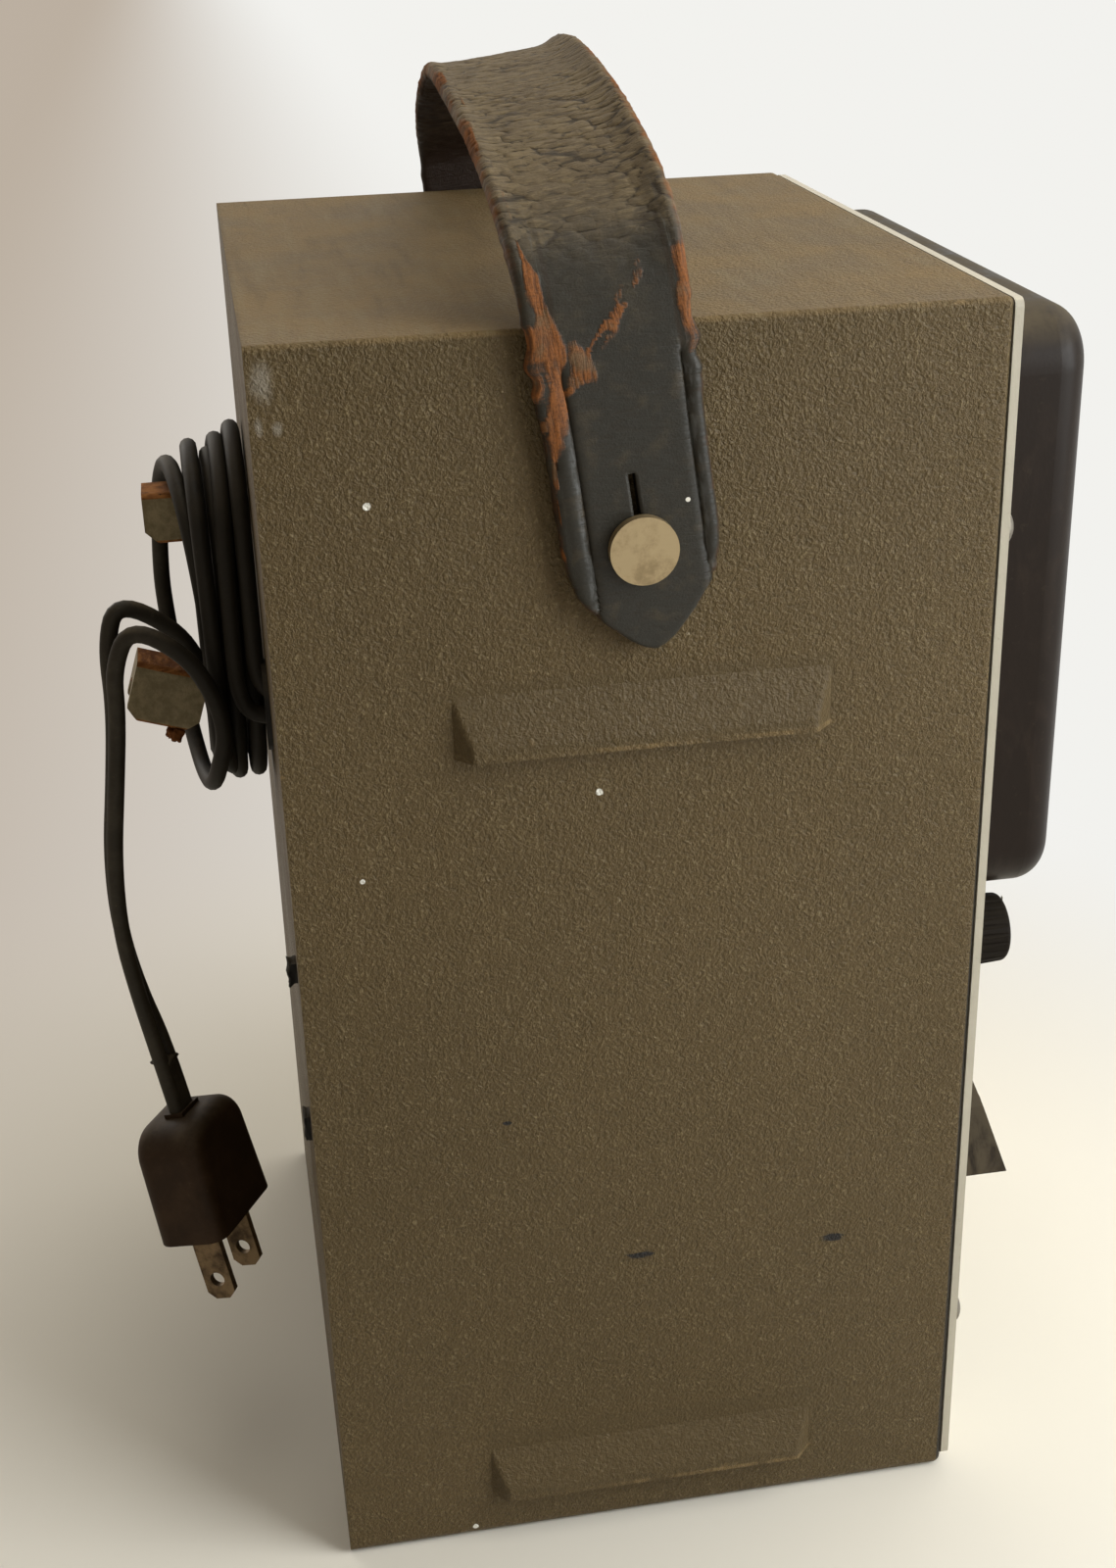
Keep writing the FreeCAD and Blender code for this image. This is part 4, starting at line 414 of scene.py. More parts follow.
def moulding(name, base, dust, roughness=0.34, speckle=0.12, dusty_below=-1.0, shine=0.25):
    """Moulded plastic: faint flow marks, fine scratches and dust on what faces up or lies low."""
    finish = Finish(name)
    flow = finish.noise(60.0, finish.stretch((1.0, 2.5, 1.0)), detail=5.0, roughness=0.62, distortion=1.2)
    grain = finish.noise(1500.0, detail=2.0)
    paler = tuple(min(1.0, part * 1.8 + 0.002) for part in base)
    paint = finish.mix(finish.smooth(flow, 0.46, 0.70) * 0.5, base, paler)
    lies = finish.upward() * finish.smooth(finish.noise(90.0, detail=6.0, roughness=0.7), 0.28, 0.62)
    specks = finish.smooth(finish.noise(420.0, detail=3.0, roughness=0.7), 0.63, 0.70) * speckle
    low = finish.smooth(finish.axes()[2], dusty_below, dusty_below - 0.008) * finish.smooth(flow, 0.30, 0.55)
    paint = finish.mix((lies * 0.62).most(specks).most(low * 0.50), paint, dust)
    finish.surface(
        Base_Color=paint, Roughness=roughness + lies * 0.35 + grain * 0.08, Specular_IOR_Level=shine,
        Normal=finish.bump(grain * 0.4 + flow * 0.6, 0.00008, 0.5))


def worn_metal(name, bright, dull, roughness=0.30, streak=(400.0, 400.0, 1600.0)):
    """Plated or bare metal: tarnish in patches and fine brushed scratches."""
    finish = Finish(name)
    tarnish = finish.noise(190.0, detail=6.0, roughness=0.65)
    brushed = finish.noise(1.0, finish.stretch(streak), detail=3.0)
    patch = finish.smooth(tarnish, 0.42, 0.68)
    paint = finish.mix(patch, bright, dull)
    finish.surface(
        Base_Color=paint, Roughness=roughness + patch * 0.26 + brushed * 0.12, Metallic=1.0 - patch * 0.28,
        Normal=finish.bump(brushed * 0.6 + tarnish * 0.4, 0.00005, 0.5))


def clear_glass():
    finish = Finish("clear_glass")
    film = finish.smooth(finish.noise(40.0, detail=6.0, roughness=0.7), 0.5, 0.8)
    finish.surface(
        Base_Color=(0.97, 0.98, 0.96), Roughness=0.03 + film * 0.10, IOR=1.49, Transmission_Weight=1.0)


def dial_card(look):
    finish = Finish("dial_card")
    fibres = finish.noise(1.0, finish.stretch((900.0, 900.0, 2600.0)), detail=4.0)
    foxing = finish.noise(55.0, detail=5.0, roughness=0.7)
    aged = tuple(0.80 * part for part in look.card)
    paint = finish.mix(finish.smooth(foxing, 0.45, 0.75) * 0.7, look.card, aged)
    paint = finish.mix(finish.smooth(foxing, 0.70, 0.76) * 0.4, paint, (0.36, 0.22, 0.10))
    finish.surface(
        Base_Color=paint, Roughness=0.78 + fibres * 0.1, Normal=finish.bump(fibres, 0.00003, 0.4))


def wound_wire(name, base, turns):
    """A winding: fine ridges of varnished wire."""
    finish = Finish(name)
    z = finish.axes()[2]
    ridge = finish.add("ShaderNodeMath", {"operation": "SINE"}, {0: z * turns})
    varnish = finish.noise(120.0, detail=4.0)
    shade_between_turns = tuple(0.4 * part for part in base)
    # Painted shade: the troughs between the ridges of wire are painted darker.
    paint = finish.mix(finish.smooth(ridge, 0.3, -0.8), base, shade_between_turns)
    finish.surface(
        Base_Color=paint, Roughness=0.32 + varnish * 0.2, Metallic=0.75 - varnish * 0.2,
        Normal=finish.bump(ridge, 0.00012, 0.7))


def clear_jewel(look):
    finish = Finish("red_jewel")
    cloud = finish.noise(300.0, detail=3.0)
    deep = tuple(0.45 * part for part in look.red)
    finish.surface(
        Base_Color=finish.mix(cloud, look.red, deep), Roughness=0.06 + cloud * 0.08, IOR=1.5,
        Transmission_Weight=0.55)


def rubber(name, base, dust, amount, shade_within=0.0):
    """Aged rubber: a chalky bloom, dust on the upper side and fine pits; painted shade darkens it close to
    the rear.
    """
    finish = Finish(name)
    bloom = finish.noise(130.0, detail=6.0, roughness=0.68)
    pits = finish.noise(1400.0, detail=2.0)
    greyer = tuple(part * 2.0 + 0.006 for part in base)
    paint = finish.mix(finish.smooth(bloom, 0.40, 0.70) * 0.6, base, greyer)
    lies = finish.upward() * finish.smooth(bloom, 0.25, 0.65) * amount
    flecks = finish.smooth(finish.noise(520.0, detail=4.0, roughness=0.75), 0.64, 0.72) * amount
    paint = finish.mix(lies.most(flecks * 0.6), paint, dust)
    # Painted shade: the wound turns close to the rear lie in each other's shadow and are painted darker.
    bundle_shade = finish.smooth(finish.axes()[1], shade_within, shade_within - 0.012)
    paint = finish.mix(bundle_shade * 0.70, paint, tuple(0.30 * part for part in base))
    finish.surface(
        Base_Color=paint, Roughness=0.46 + bloom * 0.24, Specular_IOR_Level=DULL_SPECULAR,
        Normal=finish.bump(pits * 0.5 + bloom * 0.5, 0.0001, 0.5))


CLEAT_PAINT = ((0.180, 0.142, 0.078), (0.265, 0.215, 0.125))
CLEAT_FIBRE = ((0.150, 0.052, 0.014), (0.40, 0.170, 0.050))
CLEAT_FLECK = (0.020, 0.012, 0.007)


def cleat_fibre():
    """Cleat heads: enamel on the faces, brown fibre where the top and bottom are worn through."""
    finish = Finish("cleat_fibre")
    facing = finish.add("ShaderNodeNewGeometry", output="Normal")
    flat = finish.smooth(abs(finish.axes(facing)[2]), 0.30, 0.62)
    ragged = finish.noise(420.0, detail=4.0, roughness=0.7)
    layers = finish.noise(1.0, finish.stretch((260.0, 260.0, 1900.0)), detail=3.0)
    flecks = finish.noise(1100.0, detail=3.0, roughness=0.7)
    paint = finish.mix(finish.smooth(ragged, 0.36, 0.66), *CLEAT_PAINT)
    fibre = finish.mix(finish.smooth(layers, 0.35, 0.7), *CLEAT_FIBRE)
    fibre = finish.mix(finish.smooth(flecks, 0.60, 0.70) * 0.8, fibre, CLEAT_FLECK)
    bare = finish.smooth(flat + (ragged - 0.5) * 0.8, 0.35, 0.62)
    relief = ragged * 0.4 + layers * bare * 0.5 + flecks * bare * 0.5
    finish.surface(
        Base_Color=finish.mix(bare, paint, fibre), Roughness=0.48 + bare * 0.3,
        Specular_IOR_Level=DULL_SPECULAR, Normal=finish.bump(relief, 0.0007, 0.8))


SPECK = (23.7, -8.3, 0.45, 0.45)
STRAP_MARKS = ("inset", "crack", "torn", "faded", "inner")


def strap_leather(look):
    """Cracked leather: black and smooth at the ends, faded over the arch, raw along the edges."""
    finish = Finish("strap_leather")
    along = finish.add("ShaderNodeUVMap", {"uv_map": "strap"})
    inset, crack, torn, faded, inner = (finish.mark(name) for name in STRAP_MARKS)
    warp = finish.noise(1.0, finish.stretch((260.0, 260.0, 1.0), along), detail=3.0)
    creased = finish.stretch((1700.0, 360.0, 1.0), along)
    fine = finish.noise(1.0, creased, detail=4.0, roughness=0.62, distortion=0.6)
    pores = finish.noise(1.0, finish.stretch((2600.0, 2600.0, 1.0), along), detail=2.0)
    broad = finish.noise(1.0, finish.stretch((60.0, 90.0, 1.0), along), detail=5.0, roughness=0.65)
    strands = finish.noise(1.0, finish.stretch((260.0, 1900.0, 1.0), along), detail=3.0, roughness=0.6)
    worn = finish.smooth(faded + (broad - 0.5) * 0.5, 0.15, 0.85)
    paint = finish.mix(worn, look.black, look.olive)
    paint = finish.mix(finish.smooth(broad, 0.42, 0.66) * worn * 0.45, paint, look.yellow)
    paint = finish.mix(finish.smooth(fine, 0.50, 0.66) * worn * 0.60, paint, look.yellow)
    paint = finish.mix(finish.smooth(fine, 0.46, 0.32) * worn * 0.75, paint, look.crack)
    paint = finish.mix(finish.smooth(crack, 0.25, 0.80) * 0.85, paint, look.crack)
    paint = finish.mix(finish.smooth(warp, 0.52, 0.72) * (1.0 - worn) * 0.20, paint, look.olive)
    paint = finish.mix(finish.smooth(fine, 0.52, 0.36) * (1.0 - worn) * 0.35, paint, look.crack)
    aside = finish.axes(along)[1]
    for seam_place, way in ((-FRONT_SEAM, -1.0), (REAR_SEAM, 1.0)):
        beyond = (aside - seam_place) * way
        # Painted shade: a dark line in the seam groove, finer than the mesh.
        seam_shade = finish.smooth(abs(beyond), 0.00060, 0.00015) * (1.0 - worn)
        paint = finish.mix(seam_shade * 0.85, paint, look.crack)
        # Painted highlight: a pale line on the groove's flank.
        shine = finish.smooth(abs(beyond - 0.0009), 0.00050, 0.00010) * finish.smooth(strands, 0.45, 0.62)
        paint = finish.mix(shine * (1.0 - worn) * 0.45, paint, look.shine)
    frayed = inset + (warp - 0.5) * 0.0020 + (fine - 0.5) * 0.0012
    rim = finish.smooth(frayed, 0.0006, -0.0004) * (0.25 + worn * 0.75)
    feathered = torn + (warp - 0.5) * 0.60 + (fine - 0.5) * 0.45 + (strands - 0.5) * 0.45
    bare = rim.most(finish.smooth(feathered, 0.34, 0.74))
    umber = tuple(0.34 * part + 0.004 for part in look.raw)
    umber_dark = tuple(0.06 * part + 0.004 for part in look.raw)
    hide = finish.mix(finish.smooth(strands, 0.30, 0.60), umber, look.raw)
    hide = finish.mix(finish.smooth(warp, 0.50, 0.68) * 0.7, hide, look.olive)
    hide = finish.mix(finish.smooth(pores, 0.55, 0.35) * 0.5, hide, umber)
    paint = finish.mix(bare * 0.92, paint, hide)
    paint = finish.mix(inner * 0.85, paint, umber_dark)
    speck = finish.oval(finish.axes(along)[0], aside, *SPECK)
    paint = finish.mix(finish.smooth(speck, 1.0, 0.7), paint, look.speck)
    relief = fine * (worn * 0.5 + 0.42) + warp * (1.0 - worn) * 0.25 + pores * 0.14 + strands * bare * 0.6
    finish.surface(
        Base_Color=paint, Roughness=0.40 + worn * 0.26 + bare * 0.24, Specular_IOR_Level=SPECULAR,
        Normal=finish.bump(relief, 0.0005, 0.85))


def printed(name, base):
    """Printed or filled marks: ink that has thinned a little."""
    finish = Finish(name)
    thin = finish.noise(900.0, detail=4.0, roughness=0.7)
    paler = tuple(min(1.0, part * 1.6 + 0.02) for part in base)
    paint = finish.mix(finish.smooth(thin, 0.5, 0.75), base, paler)
    finish.surface(Base_Color=paint, Roughness=0.5 + thin * 0.2)


# Bright and tarnished colours of each metal, and its roughness where it is bright
METALS = {
    "nickel": ((0.375, 0.288, 0.163), (0.265, 0.195, 0.104), 0.46),
    "screw_nickel": ((0.23, 0.21, 0.175), (0.14, 0.12, 0.09), 0.44),
    "steel": ((0.20, 0.175, 0.145), (0.085, 0.062, 0.040), 0.46),
    "magnet_steel": ((0.20, 0.20, 0.21), (0.10, 0.08, 0.06), 0.42),
    "brass": ((0.190, 0.134, 0.076), (0.066, 0.043, 0.023), 0.46),
    "chrome": ((0.70, 0.70, 0.70), (0.50, 0.48, 0.45), 0.14),
    "chassis_aluminium": ((0.66, 0.66, 0.65), (0.48, 0.47, 0.45), 0.36),
    "core_iron": ((0.16, 0.15, 0.14), (0.09, 0.06, 0.04), 0.5, (60.0, 3000.0, 60.0)),
}
KNOB_BLACK = (0.0088, 0.0066, 0.0046)
KNOB_DUST = (0.020, 0.016, 0.011)
SOCKET_BLACK = (0.012, 0.011, 0.010)
PHENOLIC = (0.115, 0.052, 0.020)
POINTER_BLACK = (0.010, 0.010, 0.010)
RUST = (0.120, 0.042, 0.012)
RUST_DARK = (0.022, 0.011, 0.006)
COPPER = (0.42, 0.16, 0.06)
GROMMET = (0.014, 0.013, 0.012)
WINDING_RIDGES = 9000.0
BAR_KNOB_TOP = 0.098
# Distance from the middle plane inside which the cord is painted in shade
CORD_SHADE_WITHIN = 0.083


def make_finishes(scene):
    case, front, strap, cord = scene.tester_case, scene.tester_front, scene.tester_strap, scene.tester_cord
    dust = front.bakelite_dust
    case_enamel(case)
    panel_enamel(front)
    moulding("bakelite", front.bakelite, dust, 0.34, 0.06, BAR_KNOB_TOP, shine=DULL_SPECULAR)
    moulding("knob_black", KNOB_BLACK, KNOB_DUST, 0.55, speckle=0.03, shine=0.06)
    moulding("socket_black", SOCKET_BLACK, dust, 0.42)
    moulding("phenolic", PHENOLIC, dust, 0.5)
    moulding("pointer_black", POINTER_BLACK, dust, 0.55, speckle=0.0)
    moulding("red_button", front.red, dust, 0.30)
    moulding("rust", RUST, RUST_DARK, 0.8, speckle=0.7, shine=0.10)
    for name, look in METALS.items():
        worn_metal(name, *look)
    clear_glass()
    dial_card(front)
    wound_wire("copper_winding", COPPER, WINDING_RIDGES)
    clear_jewel(front)
    cleat_fibre()
    rubber("grommet_rubber", GROMMET, dust, 0.5)
    rubber("cord_rubber", cord.rubber, dust, 0.85, CORD_SHADE_WITHIN)
    rubber("plug_rubber", cord.plug, dust, 0.35)
    strap_leather(strap)
    printed("ink", front.ink)
    printed("red_ink", front.red)
    printed("green_ink", front.green)


# Pieces

def new_piece(name, mesh, finish):
    piece = bpy.data.objects.new(name, mesh)
    bpy.context.scene.collection.objects.link(piece)
    piece.data.materials.clear()
    piece.data.materials.append(FINISHES[finish])
    return piece


def baked(shell, name, smooth=True):
    """The mesh of a finished shell, with its faces turned outwards."""
    bmesh.ops.recalc_face_normals(shell, faces=shell.faces)
    mesh = bpy.data.meshes.new(name)
    shell.to_mesh(mesh)
    shell.free()
    if smooth:
        mesh.shade_smooth()
    return mesh


def plain_mesh(piece):
    """Replaces a piece's modifiers by the mesh that they make."""
    graph = bpy.context.evaluated_depsgraph_get()
    mesh = bpy.data.meshes.new_from_object(piece.evaluated_get(graph))
    piece.modifiers.clear()
    piece.data = mesh
    return piece


def settle(piece, body, slot, *nodes):
    """Puts a finished piece on its body, and hides the nodes that it replaces."""
    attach(piece, body)
    if nodes:
        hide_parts(*nodes)
    return piece


OWN_FINISH = {"left_control_knob": "knob_black", "right_control_knob": "knob_black"}


class TESTER_OT_finishes(bpy.types.Operator):
    """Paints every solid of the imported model"""

    bl_idname = "tester.finishes"
    bl_label = "Finishes"

    def execute(self, context):
        make_finishes(context.scene)
        for name, solid in NODES.items():
            for holder in solid.material_slots:
                holder.material = FINISHES[OWN_FINISH.get(name, SLOT_OF[name])]
        return {"FINISHED"}


# Mains cord

PLUG_TOP = spot(-10.0, 85.9, 69.4)
PLUG_DOWN = Vector((-8.0, -8.5, -43.4)).normalized()
PLUG_BLADE_LINE = Vector((0.905, -0.426, 0.0))
FIRST_ROUTE = (
    (-15.0, 70.4, 160.0), (-15.4, 72.2, 168.0), (-17.0, 76.2, 176.2), (-19.6, 86.0, 183.2),
    (-20.6, 88.6, 175.0), (-18.6, 88.6, 162.0), (-16.4, 90.6, 146.0), (-13.4, 93.0, 130.0),
    (-10.4, 93.5, 113.0), (-8.4, 91.2, 97.0),
)
SECOND_ROUTE = (
    (-27.0, 68.8, 158.0), (-26.7, 70.2, 166.0), (-25.8, 74.6, 174.2), (-24.8, 84.0, 180.0),
    (-23.6, 87.7, 171.5), (-21.8, 88.0, 162.0), (-19.6, 90.0, 147.0), (-16.8, 92.4, 130.0),
    (-13.9, 93.1, 113.0), (-11.7, 91.3, 97.0),
)
# Each half turn: half width where it starts, distance from the middle plane there, and how far its middle is
# pushed outwards and upwards, all in millimetres
FIRST_TURNS = (
    (23.85, 62.4, -0.5, 0.0), (23.85, 63.8, 0.2, 0.3), (20.2, 62.8, -0.4, 0.0), (20.2, 64.2, 0.2, -0.4),
    (16.55, 63.0, 0.2, 0.0), (16.55, 65.6, 0.0, 0.0), (22.0, 69.6, 0.2, -1.2), (22.0, 71.2, 0.0, 0.6),
    (15.0, 70.4, 0.0, 0.0),
)
SECOND_TURNS = (
    (23.85, 66.0, -1.2, -2.2), (23.85, 67.5, 0.2, 0.0), (20.2, 66.5, 0.0, -1.1), (20.2, 67.9, 0.2, -0.6),
    (16.55, 66.8, 1.2, 0.0), (16.55, 69.8, 0.3, 0.4), (18.4, 70.2, 0.0, -0.3), (18.4, 78.6, 0.0, 1.6),
    (27.0, 68.8, 0.0, 0.0),
)
EXIT_BEND = 0.004
STRAIGHT_HALF = 0.006
ARC_POINTS = 5


def coil_points(look, turns, low):
    """Control points of one conductor's turns: in against the pan, then out over itself."""
    half, level = turns[0][0] * MM, turns[0][1] * MM
    points = [Vector((-half, look.exit_start, low)), Vector((-half, level - EXIT_BEND, low)),
              Vector((-half, level, low + EXIT_BEND))]
    outward = 1.0 / math.cos(math.pi / (ARC_POINTS + 1) / 2.0)
    way = 1.0
    for (half, level, bow, lift), (next_half, next_level, *_) in zip(turns, turns[1:]):
        height = look.top if way > 0 else look.bottom
        start, end = -way * half, way * next_half
        middle, radius = (start + end) / 2.0, (half + next_half) / 2.0 * outward
        points.append(Vector((start * MM, level * MM, height - STRAIGHT_HALF * way)))
        for n in range(1, ARC_POINTS + 1):
            angle = math.pi * n / (ARC_POINTS + 1)
            passed = n / (ARC_POINTS + 1)
            points.append(Vector((
                (middle - way * radius * math.cos(angle)) * MM,
                (level + (next_level - level) * passed + bow * math.sin(angle)) * MM,
                height + (way * radius + lift) * math.sin(angle) * MM)))
        points.append(Vector((end * MM, next_level * MM, height - STRAIGHT_HALF * way)))
        way = -way
    return points[:-1]


def cord_curve(name, points, look):
    curve = bpy.data.curves.new(name, "CURVE")
    curve.dimensions = "3D"
    spline = curve.splines.new("NURBS")
    spline.points.add(len(points) - 1)
    for place, point in zip(spline.points, points):
        place.co = (*point, 1.0)
    spline.order_u = 3
    spline.use_endpoint_u = True
    spline.resolution_u = 6
    curve.bevel_depth = look.diameter / 2.0
    curve.bevel_resolution = 4
    curve.use_fill_caps = True
    return new_piece(name, curve, "cord_rubber")


def spline_length(piece):
    """Length of a curve's own line."""
    bare = piece.copy()
    bare.data = piece.data.copy()
    bare.data.bevel_depth = 0.0
    bpy.context.scene.collection.objects.link(bare)
    line = bpy.data.meshes.new_from_object(bare.evaluated_get(bpy.context.evaluated_depsgraph_get()))
    spots = [vertex.co for vertex in line.vertices]
    bpy.data.objects.remove(bare)
    bpy.data.meshes.remove(line)
    return sum((after - before).length for before, after in zip(spots, spots[1:]))


WEB_LENGTH = 0.0125
WEB_ROWS = 26
WEB_SIDES = 20
WEB_HALF_WIDTH = 0.00335
WEB_HALF_DEPTH = 0.00172
WEB_TAPER = 0.42
FRAY_AT = 0.90
FRAY_SPREAD = 0.12


def cord_web(aside):
    """The stretch above the plug where both conductors are still one flat cord, with a frayed upper end."""
    forward = PLUG_DOWN.cross(aside)
    shell = bmesh.new()
    rings = []
    for row in range(WEB_ROWS + 1):
        at = row / WEB_ROWS
        ragged = max(0.0, 1.0 - abs(at - FRAY_AT) / FRAY_SPREAD)
        closing = math.sqrt(max(0.0, 1.0 - max(0.0, (at - FRAY_AT) / 0.10) ** 2))
        middle = PLUG_TOP - PLUG_DOWN * (WEB_LENGTH * at - 0.0004)
        ring = []
        for side in range(WEB_SIDES):
            angle = 2.0 * math.pi * side / WEB_SIDES
            wide, deep = math.cos(angle), math.sin(angle)
            rough = 1.0 + ragged * 0.75 * noise.noise(Vector((wide * 2.1, deep * 2.1, at * 9.0)))
            half = WEB_HALF_WIDTH * (1.0 - WEB_TAPER * at) + ragged * 0.0007
            thick = WEB_HALF_DEPTH + ragged * 0.0006
            reach = aside * (math.copysign(abs(wide) ** 0.75, wide) * half) + forward * (deep * thick)
            ring.append(shell.verts.new(middle + reach * rough * max(closing, 0.02)))
        rings.append(ring)
    for before, after in zip(rings, rings[1:]):
        for side in range(WEB_SIDES):
            following = (side + 1) % WEB_SIDES
            shell.faces.new((before[side], before[following], after[following], after[side]))
    shell.faces.new(rings[0])
    shell.faces.new(rings[-1])
    return settle(new_piece("cord_web", baked(shell, "cord_web"), "cord_rubber"), "case", "cord_rubber")


class TESTER_OT_cord(bpy.types.Operator):
    """Winds both conductors of the mains cord and hangs them down to the plug"""

    bl_idname = "tester.cord"
    bl_label = "Mains cord"

    def execute(self, context):
        look = context.scene.tester_cord
        aside = (PLUG_BLADE_LINE - PLUG_DOWN * PLUG_BLADE_LINE.dot(PLUG_DOWN)).normalized()
        plug = [NODES["plug_body"], NODES["plug_blades"], cord_web(aside)]
        for name, turns, route, drop, way in (
            ("first", FIRST_TURNS, FIRST_ROUTE, 0.0, 1.0),
            ("second", SECOND_TURNS, SECOND_ROUTE, look.pitch, -1.0),
        ):
            points = coil_points(look, turns, look.exit_height - drop)
            end = PLUG_TOP + aside * (way * look.pitch / 2.0)
            points += [spot(*point) for point in route] + [end - PLUG_DOWN * look.approach, end]
            piece = cord_curve(f"cord_{name}", points, look)
            settle(piece, "case", "cord_rubber", f"cord_coil_{name}", f"cord_tail_{name}")
            spline_length(piece)
        return {"FINISHED"}


# Strap handle

STRAP_STEP = 0.00050
STRAP_COLUMNS = 23
STUD_HEIGHT = 0.203
STUD_SETBACK = 0.0008
STUD_HOLE = 0.00265
SLIT_HALF = 0.0006
RIM_ROUND = 0.0011
RIM_SHARE = 0.42
ARCH_POWER = 1.86
ARCH_STEPS = 440
FULL_WIDTH = 0.0254
TIP_PROFILE = ((0.0, 0.0006), (0.0005, 0.0019), (0.0012, 0.0030), (0.0020, 0.0040), (0.0033, 0.0053),
               (0.0055, 0.0075), (0.0086, 0.0098), (0.0112, 0.0113), (0.0145, 0.0122), (0.0190, 0.0127))


def strap_line(look):
    """Evenly spaced points up one side, over the arch and down the other."""
    low = STUD_HEIGHT - look.tip
    steps = int((look.shoulder - low) / STRAP_STEP)
    side = [Vector((-look.span, 0.0, low + (look.shoulder - low) * n / steps)) for n in range(steps)]
    arch = []
    for n in range(ARCH_STEPS + 1):
        angle = math.pi * n / ARCH_STEPS
        across, up = math.cos(angle), math.sin(angle)
        arch.append(Vector((
            -look.span * math.copysign(abs(across) ** (2.0 / ARCH_POWER), across), 0.0,
            look.shoulder + look.rise * up ** (2.0 / ARCH_POWER))))
    points = side + arch + [Vector((-point.x, 0.0, point.z)) for point in side[::-1]]
    spaced = [points[0]]
    for point in points[1:]:
        if (point - spaced[-1]).length >= STRAP_STEP * 0.8:
            spaced.append(point)
    return spaced


def profile(table, at):
    for (start, low), (end, high) in zip(table, table[1:]):
        if at <= end:
            return low + (high - low) * (at - start) / (end - start)
    return table[-1][1]


def step_up(value, low, high):
    """0 to 1 as the value goes from low to high, with soft ends."""
    part = max(0.0, min(1.0, (value - low) / (high - low)))
    return part * part * (3.0 - 2.0 * part)


STRIPE_CENTRE = ((0.2100, 0.0122), (0.2166, 0.0117), (0.2204, 0.0111), (0.2280, 0.0098), (0.2360, 0.0090),
                 (0.2420, 0.0098), (0.2475, 0.0108), (0.2520, 0.0118))
STRIPE_HALF = ((0.2100, 0.0), (0.2140, 0.0002), (0.2204, 0.0012), (0.2360, 0.0018), (0.2475, 0.0012),
               (0.2530, 0.0))
FRONT_SEAM = 0.0104
REAR_SEAM = 0.0084
# Heights between which each kind of wear comes in and goes out again
ARCH_FROM = (0.240, 0.256)
FOLD_FROM = (0.226, 0.238)
FUZZ_SPAN = (0.227, 0.231, 0.239, 0.243)
FLAP_SPAN = (0.230, 0.236, 0.246, 0.252)
FRAY_SPAN = (0.224, 0.230, 0.238, 0.246)
FADE_FIRST = (0.229, 0.241)
FADE_SECOND = (0.244, 0.265)
NEAR_LEG_END = (0.10, 0.14)
CRACK_WIDTH = 0.17
# Raised rims of the arch: how far in they reach and how high they stand
FRONT_LIP = (0.0062, 0.0017)
REAR_LIP = (0.0042, 0.0008)
HOLLOW = 0.0004
SEAM_DEPTH = 0.0010
SEAM_HALF = 0.00050
BEAD_HEIGHT = 0.00045
BEAD_PLACE = 0.0014
BEAD_HALF = 0.0010
SLANT = (0.75, 0.66)
TEAR_PLACE = (0.1578, 0.0019)
RUB_ACROSS = (0.0050, 0.0022)
RUB_UP = (0.2335, 0.0052)
WIDTH_WANDER = 0.012
ARCH_WIDENING = 0.05
WIDENING_FROM = (0.236, 0.252)
SWAY = -0.0026
SWAY_ACROSS = (-0.03, 0.05)
SWAY_UP = (0.225, 0.250)
FRAY_REACH = 0.0014


def span(value, start, full, fading, gone):
    """0 to 1 and back to 0 as the value passes four marks."""
    return step_up(value, start, full) * (1.0 - step_up(value, fading, gone))


def hump(value, centre, half):
    """1 at a centre, falling off to both sides."""
    return math.exp(-((value - centre) / half) ** 2)


